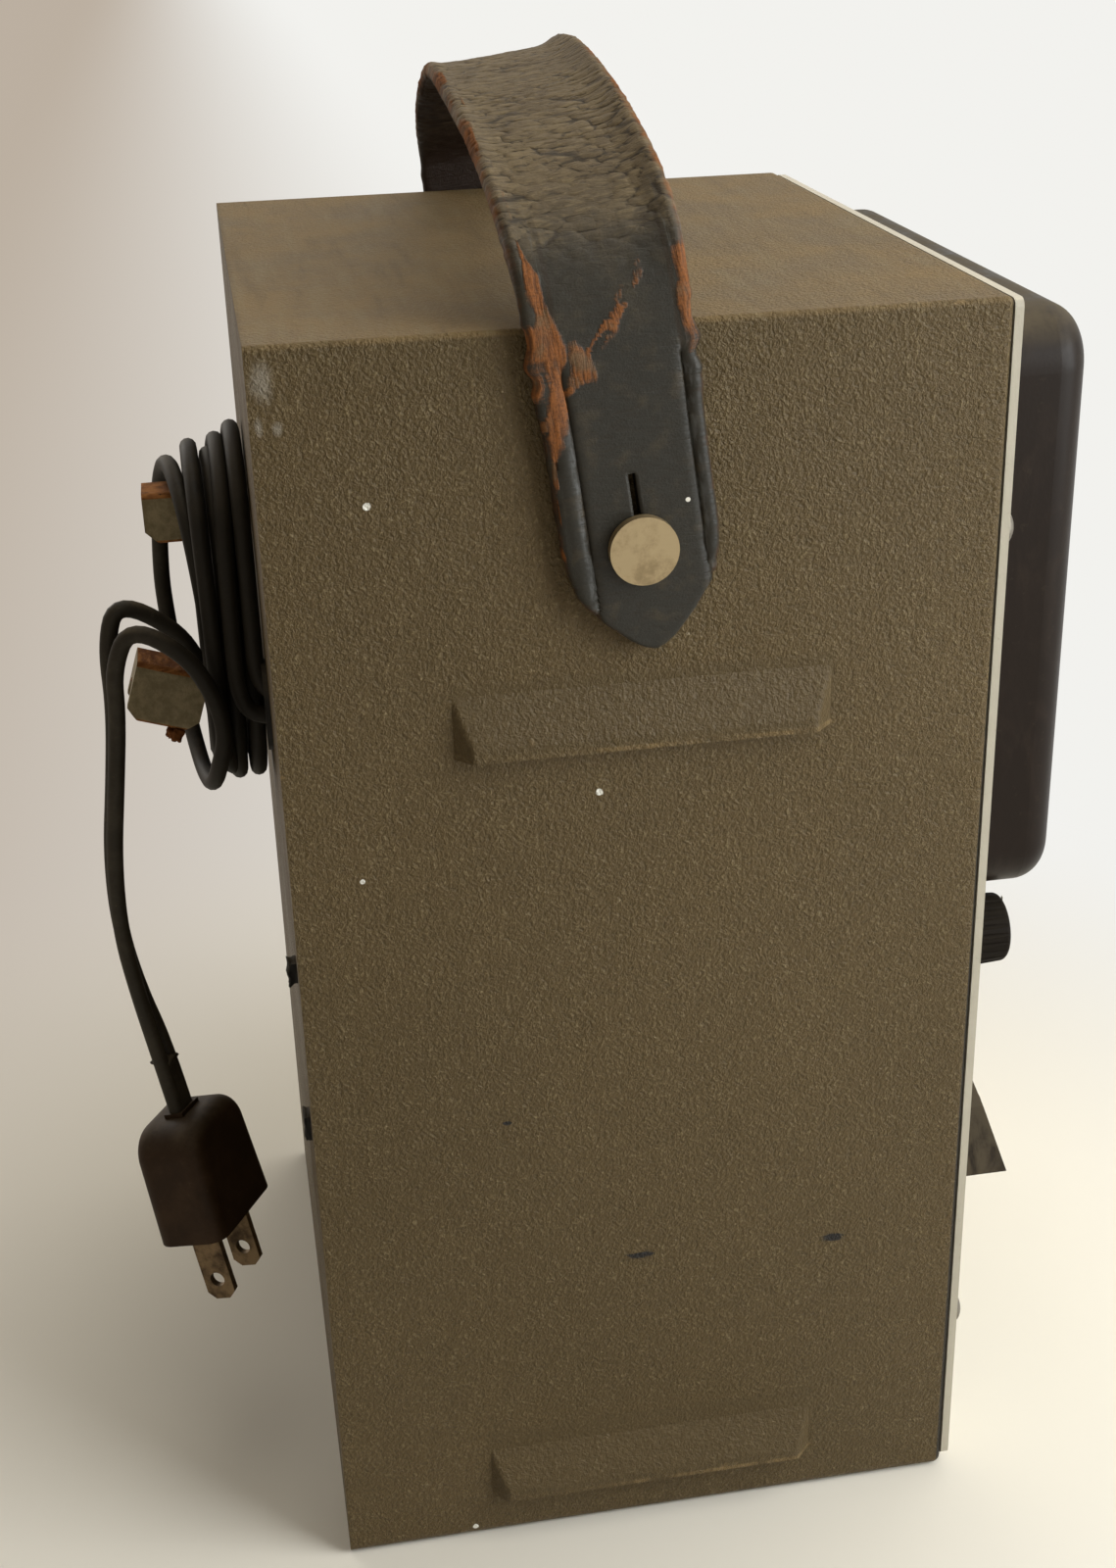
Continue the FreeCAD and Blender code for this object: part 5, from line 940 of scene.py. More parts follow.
def strap_surface(along, across, inset, to_tip, height):
    """How far the leather's face stands off its middle layer, how cracked, torn and faded it is there."""
    arch = step_up(height, *ARCH_FROM)
    wander = noise.noise(Vector((along * 140.0, across * 120.0, 1.7)))
    at = Vector((along * 660.0 + wander * 0.9, across * 140.0 + wander * 0.5, 2.0))
    (near, far, *_), (centre, *_) = noise.voronoi(at)
    patch = noise.noise(Vector((along * 75.0, across * 95.0, 4.4)))
    crack = max(0.0, 1.0 - (far - near) / CRACK_WIDTH) * max(0.0, min(1.0, 0.85 + patch * 0.9))
    pad = noise.noise(Vector((along * 230.0, across * 90.0, 9.7)))
    small = noise.noise(Vector((along * 1100.0, across * 300.0, 5.2)))
    tilt = (at.x - centre.x) * (1.0 if along < 0.16 else -1.0)
    swell = 0.00012 * pad - 0.00030 * crack + 0.00016 * tilt + 0.00008 * small
    lift = arch * swell + 0.00003 * small
    lip_width, lip_height = FRONT_LIP if across < 0.0 else REAR_LIP
    lip = max(0.0, 1.0 - inset / lip_width)
    lift += arch * lip * lip * lip_height
    lift -= arch * HOLLOW * (1.0 - (across * 2.0 / FULL_WIDTH) ** 2)
    end = (1.0 - step_up(height, *FOLD_FROM)) * step_up(to_tip, 0.006, 0.012)
    beyond = abs(across) - (FRONT_SEAM if across < 0.0 else REAR_SEAM)
    lift -= end * SEAM_DEPTH * hump(beyond, 0.0, SEAM_HALF)
    lift += end * BEAD_HEIGHT * hump(beyond, BEAD_PLACE, BEAD_HALF)
    rag = noise.noise(Vector((along * 210.0, across * 330.0, 6.6)))
    centre = profile(STRIPE_CENTRE, height)
    half = profile(STRIPE_HALF, height) * (1.0 + 0.3 * rag)
    near_leg = 1.0 - step_up(along, *NEAR_LEG_END)
    rear = math.exp(-((across - centre) / max(half, 0.0002)) ** 4) * near_leg
    fuzz = step_up(across, 0.0086, 0.0100) * span(height, *FUZZ_SPAN)
    rear = max(rear, fuzz * (0.60 + 0.6 * rag) * near_leg)
    flap = step_up(-across, 0.0102, 0.0120) * span(height, *FLAP_SPAN) * (0.75 + 0.9 * rag) * near_leg
    slant = SLANT[0] * across + SLANT[1] * height
    run = SLANT[0] * height - SLANT[1] * across
    streak = noise.noise(Vector((run * 170.0, slant * 950.0, 3.1)))
    spread = hump(slant, *TEAR_PLACE) * step_up(across, -0.0088, -0.0040) * step_up(streak, -0.30, 0.22)
    rub = hump(across, *RUB_ACROSS) * hump(height, *RUB_UP) * (0.75 + 1.1 * rag)
    spread = max(spread, rub) * near_leg
    border = arch * (1.0 - step_up(inset, 0.0003, 0.0016)) * (1.0 if across > 0.0 else 0.45)
    border *= 0.35 + 0.75 * step_up(noise.noise(Vector((along * 90.0, 0.0, 2.2))), -0.1, 0.3)
    torn = max(rear * 0.92, flap * 0.9, spread * 0.80, border * 0.85) + rag * 0.08
    lift += 0.00045 * step_up(torn, 0.35, 0.75) * rag
    faded = 0.20 * step_up(height, *FADE_FIRST) + 0.80 * step_up(height, *FADE_SECOND)
    return lift, crack * arch, torn, faded


class TESTER_OT_strap(bpy.types.Operator):
    """Cuts the leather strap with its pointed ends, slits, creases and folds"""

    bl_idname = "tester.strap"
    bl_label = "Strap handle"

    def execute(self, context):
        look = context.scene.tester_strap
        line = strap_line(look)
        reach = [0.0]
        for before, after in zip(line, line[1:]):
            reach.append(reach[-1] + (after - before).length)
        whole = reach[-1]
        shell = bmesh.new()
        uv = shell.loops.layers.uv.new("strap")
        layers = [shell.verts.layers.float.new(name) for name in STRAP_MARKS[:-1]]
        flat = {}
        rows = []
        lean = Matrix.Rotation(-look.lean, 4, "X")
        pivot = Vector((0.0, STUD_SETBACK, STUD_HEIGHT))
        for row, (point, along) in enumerate(zip(line, reach)):
            to_tip = min(along, whole - along)
            half = profile(TIP_PROFILE, to_tip) * look.width / FULL_WIDTH
            half *= 1.0 + WIDTH_WANDER * noise.noise(Vector((along * 45.0, 0.3, 0.0)))
            half *= 1.0 + ARCH_WIDENING * step_up(point.z, *WIDENING_FROM)
            sway = SWAY * step_up(point.x, *SWAY_ACROSS) * step_up(point.z, *SWAY_UP)
            ahead = line[min(row + 1, len(line) - 1)] - line[max(row - 1, 0)]
            outward = Vector((-ahead.z, 0.0, ahead.x)).normalized()
            verts = []
            for column in range(-STRAP_COLUMNS, STRAP_COLUMNS + 1):
                if column == 0:
                    continue
                step = (abs(column) - 1) / (STRAP_COLUMNS - 1)
                slit = min(SLIT_HALF, half * 0.5)
                across = math.copysign(slit + (half - slit) * step, column)
                inset = half - abs(across)
                lift, *marks = strap_surface(along, across, inset, to_tip, point.z)
                place = Vector((point.x, 0.0, point.z - STUD_HEIGHT)) + outward * lift
                ragged = max(0.0, noise.noise(Vector((along * 420.0, across, 7.7))) + 0.35)
                ragged *= step_up(inset, 0.003, 0.0)
                frayed = span(point.z, *FRAY_SPAN)
                place.y = across + sway + math.copysign(FRAY_REACH * ragged * frayed, across)
                vert = shell.verts.new(pivot + lean @ place)
                for layer, mark in zip(layers, (inset, *marks)):
                    vert[layer] = mark
                flat[vert] = (along, across, to_tip)
                verts.append(vert)
            rows.append(verts)
        for before, after in zip(rows, rows[1:]):
            for n in range(len(before) - 1):
                corners = (before[n], before[n + 1], after[n + 1], after[n])
                middle = sum(flat[corner][2] for corner in corners) / 4.0 - look.tip
                aside = sum(flat[corner][1] for corner in corners) / 4.0
                in_slit = n == STRAP_COLUMNS - 1 and 0.0 < middle < look.slit
                if in_slit or math.hypot(middle, aside) < STUD_HOLE:
                    continue
                face = shell.faces.new(corners)
                for loop in face.loops:
                    loop[uv].uv = flat[loop.vert][:2]
        loose = [vert for vert in shell.verts if not vert.link_faces]
        bmesh.ops.delete(shell, geom=loose, context="VERTS")
        mesh = baked(shell, "leather_strap")
        piece = new_piece("leather_strap", mesh, "strap_leather")
        rim = piece.vertex_groups.new(name="rim")
        for vert, inset in zip(mesh.vertices, mesh.attributes["inset"].data):
            short = 1.0 - min(inset.value / RIM_ROUND, 1.0)
            rim.add([vert.index], RIM_SHARE + (1.0 - RIM_SHARE) * math.sqrt(1.0 - short * short), "REPLACE")
        wall = piece.modifiers.new("Leather", "SOLIDIFY")
        wall.thickness = look.thickness
        wall.offset = 0.0
        wall.vertex_group = rim.name
        wall.thickness_vertex_group = 0.0
        leather = plain_mesh(piece).data
        inner = leather.attributes.new(STRAP_MARKS[-1], "FLOAT", "POINT")
        middle = Vector((0.0, 0.0, STUD_HEIGHT))
        for vert, mark in zip(leather.vertices, inner.data):
            away = vert.co - middle
            away.y = 0.0
            mark.value = step_up(-vert.normal.dot(away.normalized()), 0.05, 0.45)
        settle(piece, "handle", "strap_leather", "handle_strap")
        return {"FINISHED"}


# Repeated details

class Graph(Tree):
    """A Geometry Nodes tree: its named inputs are sizes, its output is real mesh in one finish."""

    def __init__(self, name, inputs):
        super().__init__(bpy.data.node_groups.new(name, "GeometryNodeTree"))
        face = self.nodes.interface
        face.new_socket("Geometry", in_out="OUTPUT", socket_type="NodeSocketGeometry")
        kinds = {"Geometry": "NodeSocketGeometry", **inputs, "Finish": "NodeSocketMaterial"}
        self.keys = {}
        for label, kind in kinds.items():
            self.keys[label] = face.new_socket(label, in_out="INPUT", socket_type=kind).identifier
        self.source = self.nodes.nodes.new("NodeGroupInput")

    def given(self, label):
        return Wire(self, self.find(self.source.outputs, label))

    def vector(self, x=0.0, y=0.0, z=0.0):
        return self.add("ShaderNodeCombineXYZ", {}, {0: x, 1: y, 2: z})

    def moved(self, shape, **sockets):
        return self.add("GeometryNodeTransform", {}, {"Geometry": shape, **sockets})

    def end(self, shape):
        real = self.add("GeometryNodeRealizeInstances", {}, {0: shape})
        painted = self.add("GeometryNodeSetMaterial", {}, {
            "Geometry": real, "Material": self.given("Finish")})
        self.add("NodeGroupOutput", {}, {0: painted})

    def grown(self, finish, points=(), **sizes):
        """The plain mesh that the tree makes of some points and sizes."""
        seed = bpy.data.meshes.new("seed")
        seed.from_pydata([tuple(point) for point in points], [], [])
        piece = new_piece("seed", seed, finish)
        growth = piece.modifiers.new("Growth", "NODES")
        growth.node_group = self.nodes
        for label, value in sizes.items():
            growth[self.keys[label.replace("_", " ")]] = value
        growth[self.keys["Finish"]] = FINISHES[finish]
        mesh = plain_mesh(piece).data
        bpy.data.objects.remove(piece)
        return mesh


def tick_tree():
    """Ticks on a circle about a point of the front, counted clockwise from the top."""
    sizes = dict.fromkeys(("Radius", "Start", "Sweep", "Length", "Width", "Thickness"), "NodeSocketFloat")
    graph = Graph("ticks", {"Count": "NodeSocketInt", **sizes, "Centre": "NodeSocketVector"})
    count, radius = graph.given("Count"), graph.given("Radius")
    angle = graph.given("Start") + graph.given("Sweep") * graph.add("GeometryNodeInputIndex") / (count - 1.0)
    place = graph.vector(angle.maths("SINE", angle) * radius, 0.0, angle.maths("COSINE", angle) * radius)
    dots = graph.add("GeometryNodePoints", {}, {"Count": count, "Position": place})
    size = graph.vector(graph.given("Width"), graph.given("Thickness"), graph.given("Length"))
    bar = graph.add("GeometryNodeMeshCube", {}, {"Size": size})
    ticks = graph.add("GeometryNodeInstanceOnPoints", {}, {
        "Points": dots, "Instance": bar, "Rotation": graph.vector(0.0, angle, 0.0)})
    graph.end(graph.moved(ticks, Translation=graph.given("Centre")))
    return graph


def screw_tree():
    """Slotted round heads with their shanks, each turned a little differently."""
    labels = ("Head radius", "Head height", "Slot width", "Slot depth", "Shank radius", "Shank length",
              "Facing")
    graph = Graph("screws", {**dict.fromkeys(labels, "NodeSocketFloat"), "Seed": "NodeSocketInt"})
    radius, height = graph.given("Head radius"), graph.given("Head height")
    ball = graph.add("GeometryNodeMeshUVSphere", {}, {"Segments": 24, "Rings": 14, "Radius": 1.0})
    dome = graph.moved(ball, Scale=graph.vector(radius, height, radius))
    cutter = graph.add("GeometryNodeMeshCube", {}, {
        "Size": graph.vector(radius * 2.4, graph.given("Slot depth") * 2.0, graph.given("Slot width"))})
    cutter = graph.moved(cutter, Translation=graph.vector(0.0, -height, 0.0))
    head = graph.add("GeometryNodeMeshBoolean", {"operation": "DIFFERENCE"}, {
        "Mesh 1": dome, "Mesh 2": cutter})
    shank_length = graph.given("Shank length")
    shank = graph.add("GeometryNodeMeshCylinder", {}, {
        "Vertices": 16, "Radius": graph.given("Shank radius"), "Depth": shank_length})
    shank = graph.moved(
        shank, Rotation=(math.pi / 2.0, 0.0, 0.0), Translation=graph.vector(0.0, shank_length / 2.0, 0.0))
    whole = graph.add("GeometryNodeJoinGeometry", {}, {0: head})
    graph.feed(whole.socket.node.inputs[0], shank)
    chance = graph.add("FunctionNodeRandomValue", {"data_type": "FLOAT"}, {
        "Min_001": 0.0, "Max_001": math.pi, "Seed": graph.given("Seed")}, "Value_001")
    screws = graph.add("GeometryNodeInstanceOnPoints", {}, {
        "Points": graph.given("Geometry"), "Instance": whole,
        "Rotation": graph.vector(0.0, chance, graph.given("Facing"))})
    graph.end(screws)
    return graph


def gathered(name, meshes, finish, body, slot, *nodes):
    """One piece of several meshes."""
    shell = bmesh.new()
    for mesh in meshes:
        shell.from_mesh(mesh)
    whole = bpy.data.meshes.new(name)
    shell.to_mesh(whole)
    shell.free()
    for polygon in whole.polygons:
        polygon.material_index = 0
    return settle(new_piece(name, whole, finish), body, slot, *nodes)


PANEL_FACE = -0.062
CHASSIS_BACK = -0.0133
PANEL_SCREWS = ((-65.4, 37.0), (65.4, 37.0), (-65.4, 199.0), (65.4, 199.0))
SOCKET_SCREWS = ((-18.0, 82.0), (18.0, 82.0), (-14.2, 50.0), (14.2, 50.0), (-12.8, 20.0), (12.8, 20.0),
                 (-57.6, 24.0), (-21.6, 24.0))
CHASSIS_SCREWS = ((-28.0, 104.0), (28.0, 104.0), (-24.0, 42.0), (24.0, 42.0))
SMALL_SCREW = {"Head_radius": 0.0028, "Head_height": 0.0017, "Slot_width": 0.0007, "Slot_depth": 0.0008,
               "Shank_radius": 0.0014, "Shank_length": 0.008}
LARGE_SCREW = {**SMALL_SCREW, "Head_radius": 0.0033, "Head_height": 0.0020, "Slot_width": 0.0008,
               "Shank_length": 0.009}
FIRST_SEED = 3
SCREW_CREASE = math.radians(32.0)


class TESTER_OT_screws(bpy.types.Operator):
    """Sets the slotted screws of the panel, the sockets and the chassis"""

    bl_idname = "tester.screws"
    bl_label = "Slotted screws"

    def execute(self, context):
        tree = screw_tree()
        meshes = []
        for seed, (places, level, facing, sizes) in enumerate((
            (PANEL_SCREWS, PANEL_FACE, 0.0, LARGE_SCREW),
            (SOCKET_SCREWS, PANEL_FACE, 0.0, SMALL_SCREW),
            (CHASSIS_SCREWS, PANEL_FACE, 0.0, SMALL_SCREW),
            (CHASSIS_SCREWS, CHASSIS_BACK, math.pi, SMALL_SCREW),
        ), FIRST_SEED):
            seats = [(x * MM, level, z * MM) for x, z in places]
            meshes.append(tree.grown("screw_nickel", seats, Facing=facing, Seed=seed, **sizes))
        piece = gathered("slotted_screws", meshes, "screw_nickel", "case", "nickel",
                         "panel_screws", "socket_screws", "chassis_screws")
        piece.data.shade_smooth()
        piece.data.set_sharp_from_angle(angle=SCREW_CREASE)
        return {"FINISHED"}


CARD_FACE = -0.0653
INK_THICK = 0.00006
PIVOT = Vector((0.0, CARD_FACE - INK_THICK / 2.0, 0.154))
NEEDLE_SWING = math.radians(42.0)
KNOB_TURN = math.radians(150.0)
CONTROL_KNOBS = {"left_control_set": -0.050, "right_control_set": 0.050}
CONTROL_HEIGHT = 0.1135
CONTROL_FACE = -0.0735
SELECTORS = (-0.045, 0.045)
SELECTOR_HEIGHT = 0.069
SELECTOR_STEPS = 11
# Rings of ticks: how many, at which radius, how long and how wide
DIAL_TICKS = ((51, 0.0564, 0.0024, 0.00022), (11, 0.0574, 0.0044, 0.00050), (31, 0.0404, 0.0018, 0.00022),
              (7, 0.0396, 0.0034, 0.00042))
CONTROL_TICKS = ((21, 0.0090, 0.0012, 0.00022), (11, 0.0093, 0.0018, 0.00040))
SELECTOR_TICKS = ((SELECTOR_STEPS, 0.0136, 0.0026, 0.00045),)
KNOB_LINE = ((1, 0.0040, 0.0048, 0.0007),)
DIAL_ARCS = ((0.0550, 0.0553), (0.0412, 0.0415), (0.0432, 0.0434), (0.0486, 0.0488))
# Rows of numbers: how many, the step between them, at which radius and how tall
DIAL_NUMBERS = ((11, 10, 0.0626, 0.0044), (7, 5, 0.0356, 0.0032))
SELECTOR_NUMBERS = ((SELECTOR_STEPS, 1, 0.0180, 0.0036),)
SECTOR = (0.0440, 0.0480)
RED_END = math.radians(-9.0)
GREEN_START = math.radians(-3.0)
WORD_SIZE = 0.0034
PIN_COUNTS = (("8", 0.0, 98.2), ("8", -39.6, 40.6), ("9", 0.0, 62.6), ("7", 0.0, 31.2))
SWITCH_WORDS = (("ON", 26.0, 32.0), ("OFF", 26.0, 12.4))


def word(text, place, size, angle=0.0):
    """Letters or digits that face the front, leaning clockwise by an angle."""
    letters = bpy.data.curves.new("letters", "FONT")
    letters.body = text
    letters.size = size
    letters.align_x = "CENTER"
    letters.align_y = "CENTER"
    letters.extrude = INK_THICK / 2.0
    letters.resolution_u = 3
    holder = bpy.data.objects.new("letters", letters)
    bpy.context.scene.collection.objects.link(holder)
    mesh = bpy.data.meshes.new_from_object(holder.evaluated_get(bpy.context.evaluated_depsgraph_get()))
    bpy.data.objects.remove(holder)
    upright = Matrix.Rotation(angle, 4, "Y") @ Matrix.Rotation(math.pi / 2.0, 4, "X")
    mesh.transform(Matrix.Translation(place) @ upright)
    return mesh


def arc_band(centre, inner, outer, start, stop, steps=48):
    """A thin flat band along an arc about a point of the front."""
    shell = bmesh.new()
    half = Vector((0.0, INK_THICK / 2.0, 0.0))
    rings = []
    for n in range(steps + 1):
        angle = start + (stop - start) * n / steps
        out = Vector((math.sin(angle), 0.0, math.cos(angle)))
        corners = (out * inner - half, out * outer - half, out * outer + half, out * inner + half)
        rings.append([shell.verts.new(centre + corner) for corner in corners])
    for before, after in zip(rings, rings[1:]):
        for n in range(4):
            shell.faces.new((before[n], before[(n + 1) % 4], after[(n + 1) % 4], after[n]))
    shell.faces.new(rings[0])
    shell.faces.new(rings[-1])
    return baked(shell, "band", smooth=False)


def tick_rings(ticks, finish, rows, swing, centre):
    """Rings of ticks that reach as far as a swing to both sides of the top."""
    sweep = {"Start": -swing, "Sweep": 2.0 * swing, "Thickness": INK_THICK, "Centre": centre}
    return [ticks.grown(finish, Count=count, Radius=radius, Length=long, Width=wide, **sweep)
            for count, radius, long, wide in rows]


def number_rings(rows, swing, centre, leaning):
    """Rows of numbers along the same swing, leaning with it or upright."""
    marks = []
    for count, step, radius, tall in rows:
        for n in range(count):
            angle = swing * (2.0 * n / (count - 1) - 1.0)
            place = centre + Vector((math.sin(angle), 0.0, math.cos(angle))) * radius
            marks.append(word(str(n * step), place, tall, angle if leaning else 0.0))
    return marks


class TESTER_OT_marks(bpy.types.Operator):
    """Prints the dial scale, the knob scales and the switch words"""

    bl_idname = "tester.marks"
    bl_label = "Dial and panel marks"

    def execute(self, context):
        ticks = tick_tree()
        gathered("printed_marks", self.dial(ticks) + self.panel(ticks), "ink", "case", "pointer_black")
        red = [arc_band(PIVOT, *SECTOR, -NEEDLE_SWING, RED_END)]
        gathered("red_sector", red, "red_ink", "case", "red_button")
        green = [arc_band(PIVOT, *SECTOR, GREEN_START, NEEDLE_SWING)]
        gathered("green_sector", green, "green_ink", "case", "dial_card")
        for body, x in CONTROL_KNOBS.items():
            centre = Vector((x, CONTROL_FACE - INK_THICK / 2.0, CONTROL_HEIGHT))
            line = tick_rings(ticks, "panel_enamel", KNOB_LINE, 0.0, centre)
            gathered(f"{body}_line", line, "panel_enamel", body, "panel_enamel")
        return {"FINISHED"}

    def dial(self, ticks):
        marks = tick_rings(ticks, "ink", DIAL_TICKS, NEEDLE_SWING, PIVOT)
        marks += [arc_band(PIVOT, *radii, -NEEDLE_SWING, NEEDLE_SWING) for radii in DIAL_ARCS]
        return marks + number_rings(DIAL_NUMBERS, NEEDLE_SWING, PIVOT, leaning=True)

    def panel(self, ticks):
        level = PANEL_FACE - INK_THICK / 2.0
        marks = []
        for x in CONTROL_KNOBS.values():
            centre = Vector((x, level, CONTROL_HEIGHT))
            marks += tick_rings(ticks, "ink", CONTROL_TICKS, KNOB_TURN, centre)
        for x in SELECTORS:
            centre = Vector((x, level, SELECTOR_HEIGHT))
            marks += tick_rings(ticks, "ink", SELECTOR_TICKS, KNOB_TURN, centre)
            marks += number_rings(SELECTOR_NUMBERS, KNOB_TURN, centre, leaning=False)
        for text, x, z in PIN_COUNTS + SWITCH_WORDS:
            marks.append(word(text, Vector((x * MM, level, z * MM)), WORD_SIZE))
        return marks


REAR_FACE = 0.0605
RUST_PLACE = spot(-3.6, 78.6, 150.0)
RUST_SIZE = spot(1.5, 1.5, 1.7)
PAD_CREASE = math.radians(40.0)
# Each pad: where it is on the rear, its width, height and thickness, all in millimetres, and how torn it is
PAD_PLACES = ((-58.0, 125.4, 3.6, 4.4, 1.5, 0.45), (-57.0, 92.4, 4.0, 5.6, 1.2, 0.25))


class TESTER_OT_pads(bpy.types.Operator):
    """Sticks what is left of two rubber pads to the rear, and rust under a cleat"""

    bl_idname = "tester.pads"
    bl_label = "Rear pads"

    def execute(self, context):
        shell = bmesh.new()
        for x, z, wide, tall, thick, torn in PAD_PLACES:
            grid = bmesh.ops.create_cube(shell, size=1.0)["verts"]
            edges = list({edge for vert in grid for edge in vert.link_edges})
            bmesh.ops.subdivide_edges(shell, edges=edges, cuts=7, use_grid_fill=True)
            for vert in shell.verts:
                if vert.tag:
                    continue
                vert.tag = True
                inside = vert.co.copy()
                round_off = 1.0 - 0.10 * (abs(inside.x * inside.z) * 4.0) ** 2
                rough = noise.noise(inside * 3.1 + Vector((x, z, 0.0))) * torn
                depth = (inside.y + 0.5) * (1.0 + rough)
                vert.co = Vector((
                    (x + inside.x * wide * round_off * (1.0 + rough * depth)) * MM,
                    REAR_FACE + depth * thick * MM,
                    (z + inside.z * tall * round_off * (1.0 + 0.6 * rough * depth)) * MM))
        mesh = baked(shell, "rear_pads")
        mesh.set_sharp_from_angle(angle=PAD_CREASE)
        settle(new_piece("rear_pads", mesh, "grommet_rubber"), "case", "grommet_rubber")
        self.rust()
        return {"FINISHED"}

    def rust(self):
        """A lump of rust under the lower cleat."""
        shell = bmesh.new()
        bmesh.ops.create_icosphere(shell, subdivisions=4, radius=1.0)
        for vert in shell.verts:
            knobbly = 1.0 + 0.55 * noise.noise(vert.co * 1.7) + 0.20 * noise.noise(vert.co * 4.3)
            vert.co = RUST_PLACE + vert.co * RUST_SIZE * knobbly
        settle(new_piece("cleat_rust", baked(shell, "cleat_rust"), "rust"), "case", "cleat_fibre")


# Stage

FLOOR_HALF = 6.0
FLOOR_CLOUD = (0.72, 0.67, 0.57)
GLOW_FROM = 0.10
GLOW_FULL = 0.29
BRIGHT_TOWARD = -0.20
DIM_TOWARD = 0.27
SOFT_TINT = (1.0, 0.90, 0.74)
SOFT_STRENGTH = 0.20
SENSOR_WIDTH = 36.0
NEAREST = 0.01
# Each lamp: where it hangs, what it points at, its size, its power and its tint
LAMPS = {
    "key_lamp": ((-0.34, -0.47, 0.58), (-0.05, -0.02, 0.14), 0.45, 2.1, (1.0, 1.0, 0.97)),
    "near_lamp": ((-0.31, -0.35, 0.27), (-0.07, -0.04, 0.12), 0.30, 1.66, (0.95, 1.0, 1.03)),
    "fill_lamp": ((-1.6, 0.7, 0.9), (0.0, 0.0, 0.12), 1.2, 0.9, (1.0, 0.93, 0.78)),
    "top_lamp": ((0.30, -0.50, 1.35), (0.0, -0.03, 0.18), 1.8, 13.5, (1.0, 0.955, 0.86)),
    "far_lamp": ((1.5, 0.95, 0.75), (0.0, 0.0, 0.12), 1.2, 9.5, (1.0, 0.97, 0.92)),
}


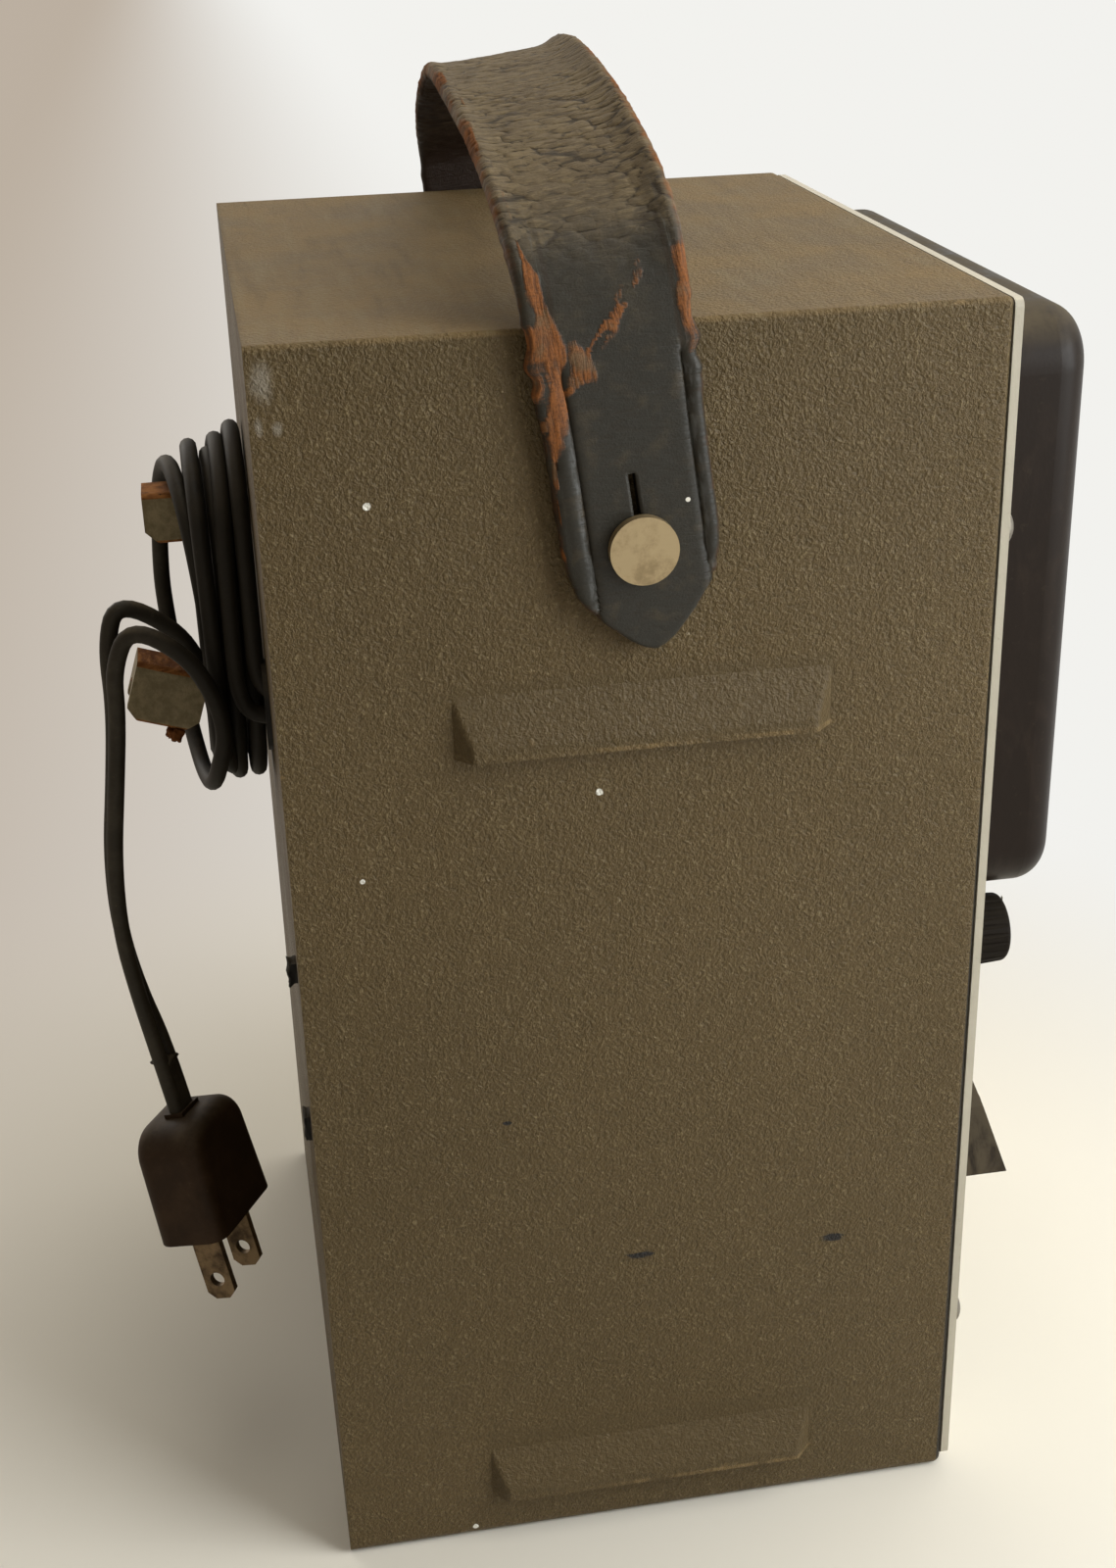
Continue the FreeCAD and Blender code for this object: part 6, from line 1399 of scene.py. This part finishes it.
class TESTER_OT_stage(bpy.types.Operator):
    """Lays the floor, hangs the lamps and stands the camera"""

    bl_idname = "tester.stage"
    bl_label = "Stage"

    def execute(self, context):
        look = context.scene.tester_stage
        self.floor(look)
        self.lamps(context.scene, look)
        self.camera(context.scene, look)
        context.scene.view_settings.view_transform = "Standard"
        return {"FINISHED"}

    def backdrop(self, tree, toward, look):
        """Pale backdrop, brighter towards the key lamp."""
        dimmer = tree.smooth(toward, BRIGHT_TOWARD, DIM_TOWARD)
        return tree.add("ShaderNodeMix", {"data_type": "RGBA"}, {
            "Factor_Float": dimmer, "A_Color": look.bright, "B_Color": look.dim}, "Result_Color")

    def seen(self, tree):
        """1 for what the camera sees, straight, mirrored or through glass."""
        rays = tree.add("ShaderNodeLightPath")
        mirrored = rays.output("Is Glossy Ray").most(rays.output("Is Transmission Ray"))
        return rays.output("Is Camera Ray").most(mirrored)

    def floor(self, look):
        finish = Finish("floor_paint")
        x, y, _ = finish.axes()
        cloud = finish.noise(3.0, detail=3.0)
        paint = finish.mix(finish.smooth(cloud, 0.3, 0.7) * 0.15, look.floor, FLOOR_CLOUD)
        finish.surface(Base_Color=paint, Roughness=0.7)
        away = (x * x + y * y) ** 0.5
        glow = finish.add("ShaderNodeEmission", {}, {"Color": self.backdrop(finish, y, look)})
        far = finish.smooth(away, GLOW_FROM, GLOW_FULL) * self.seen(finish)
        output = next(node for node in finish.nodes.nodes if node.type == "OUTPUT_MATERIAL")
        painted = Wire(finish, finish.shader.outputs[0])
        both = finish.add("ShaderNodeMixShader", {}, {0: far, 1: painted, 2: glow})
        finish.nodes.links.new(both.socket, output.inputs["Surface"])
        corners = [(-1.0, -1.0), (1.0, -1.0), (1.0, 1.0), (-1.0, 1.0)]
        sheet = bpy.data.meshes.new("floor")
        sheet.from_pydata([(x * FLOOR_HALF, y * FLOOR_HALF, 0.0) for x, y in corners], [], [(0, 1, 2, 3)])
        new_piece("floor", sheet, "floor_paint")

    def lamps(self, scene, look):
        world = bpy.data.worlds.new("studio")
        scene.world = world
        world.use_nodes = True
        tree = Tree(world.node_tree)
        tree.nodes.nodes.clear()
        way = tree.add("ShaderNodeTexCoord", output="Generated")
        toward = tree.add("ShaderNodeSeparateXYZ", sockets={0: way}, output="Y")
        soft = tree.add("ShaderNodeBackground", {}, {"Color": SOFT_TINT, "Strength": SOFT_STRENGTH})
        pale = tree.add("ShaderNodeBackground", {}, {"Color": self.backdrop(tree, toward, look)})
        both = tree.add("ShaderNodeMixShader", {}, {0: self.seen(tree), 1: soft, 2: pale})
        tree.add("ShaderNodeOutputWorld", {}, {"Surface": both})
        for name, (place, aim, size, power, tint) in LAMPS.items():
            lamp = bpy.data.lights.new(name, "AREA")
            lamp.size = size
            lamp.energy = power
            lamp.color = tint
            holder = bpy.data.objects.new(name, lamp)
            holder.location = place
            holder.rotation_euler = (Vector(aim) - Vector(place)).to_track_quat("-Z", "Y").to_euler()
            scene.collection.objects.link(holder)

    def camera(self, scene, look):
        lens = bpy.data.cameras.new("camera")
        lens.lens = look.lens
        lens.sensor_width = SENSOR_WIDTH
        lens.clip_start = NEAREST
        holder = bpy.data.objects.new("camera", lens)
        back = Vector((math.sin(look.bearing) * math.cos(look.height),
                       -math.cos(look.bearing) * math.cos(look.height), math.sin(look.height)))
        level = (-back).cross(Vector((0.0, 0.0, 1.0))).normalized()
        upright = level.cross(-back)
        right = level * math.cos(look.roll) + upright * math.sin(look.roll)
        up = upright * math.cos(look.roll) - level * math.sin(look.roll)
        stand = Matrix((right, up, back)).transposed().to_4x4()
        stand.translation = look.camera
        holder.matrix_world = stand
        scene.collection.objects.link(holder)
        scene.camera = holder


class TESTER_PT_sidebar(bpy.types.Panel):
    """Lists what dresses the tube tester"""

    bl_label = "Tube tester"
    bl_idname = "TESTER_PT_sidebar"
    bl_space_type = "VIEW_3D"
    bl_region_type = "UI"
    bl_category = "Tube tester"

    def draw(self, context):
        for operator in OPERATORS:
            self.layout.operator(operator.bl_idname)
        for holder in SETTINGS:
            group = getattr(context.scene, holder)
            for prop in group.bl_rna.properties:
                if prop.identifier not in ("rna_type", "name"):
                    self.layout.prop(group, prop.identifier)


OPERATORS = (TESTER_OT_finishes, TESTER_OT_cord, TESTER_OT_strap, TESTER_OT_screws, TESTER_OT_marks,
             TESTER_OT_pads, TESTER_OT_stage)
SETTINGS = {
    "tester_case": TesterCase, "tester_front": TesterFront, "tester_strap": TesterStrap,
    "tester_cord": TesterCord, "tester_stage": TesterStage,
}
CLASSES = (*SETTINGS.values(), *OPERATORS, TESTER_PT_sidebar)


def register():
    for kind in CLASSES:
        bpy.utils.register_class(kind)
    for holder, kind in SETTINGS.items():
        setattr(bpy.types.Scene, holder, bpy.props.PointerProperty(type=kind))


def unregister():
    for holder in SETTINGS:
        delattr(bpy.types.Scene, holder)
    for kind in reversed(CLASSES):
        bpy.utils.unregister_class(kind)


def main():
    register()
    for operator in OPERATORS:
        group, action = operator.bl_idname.split(".")
        getattr(getattr(bpy.ops, group), action)()


if __name__ == "__main__":
    main()
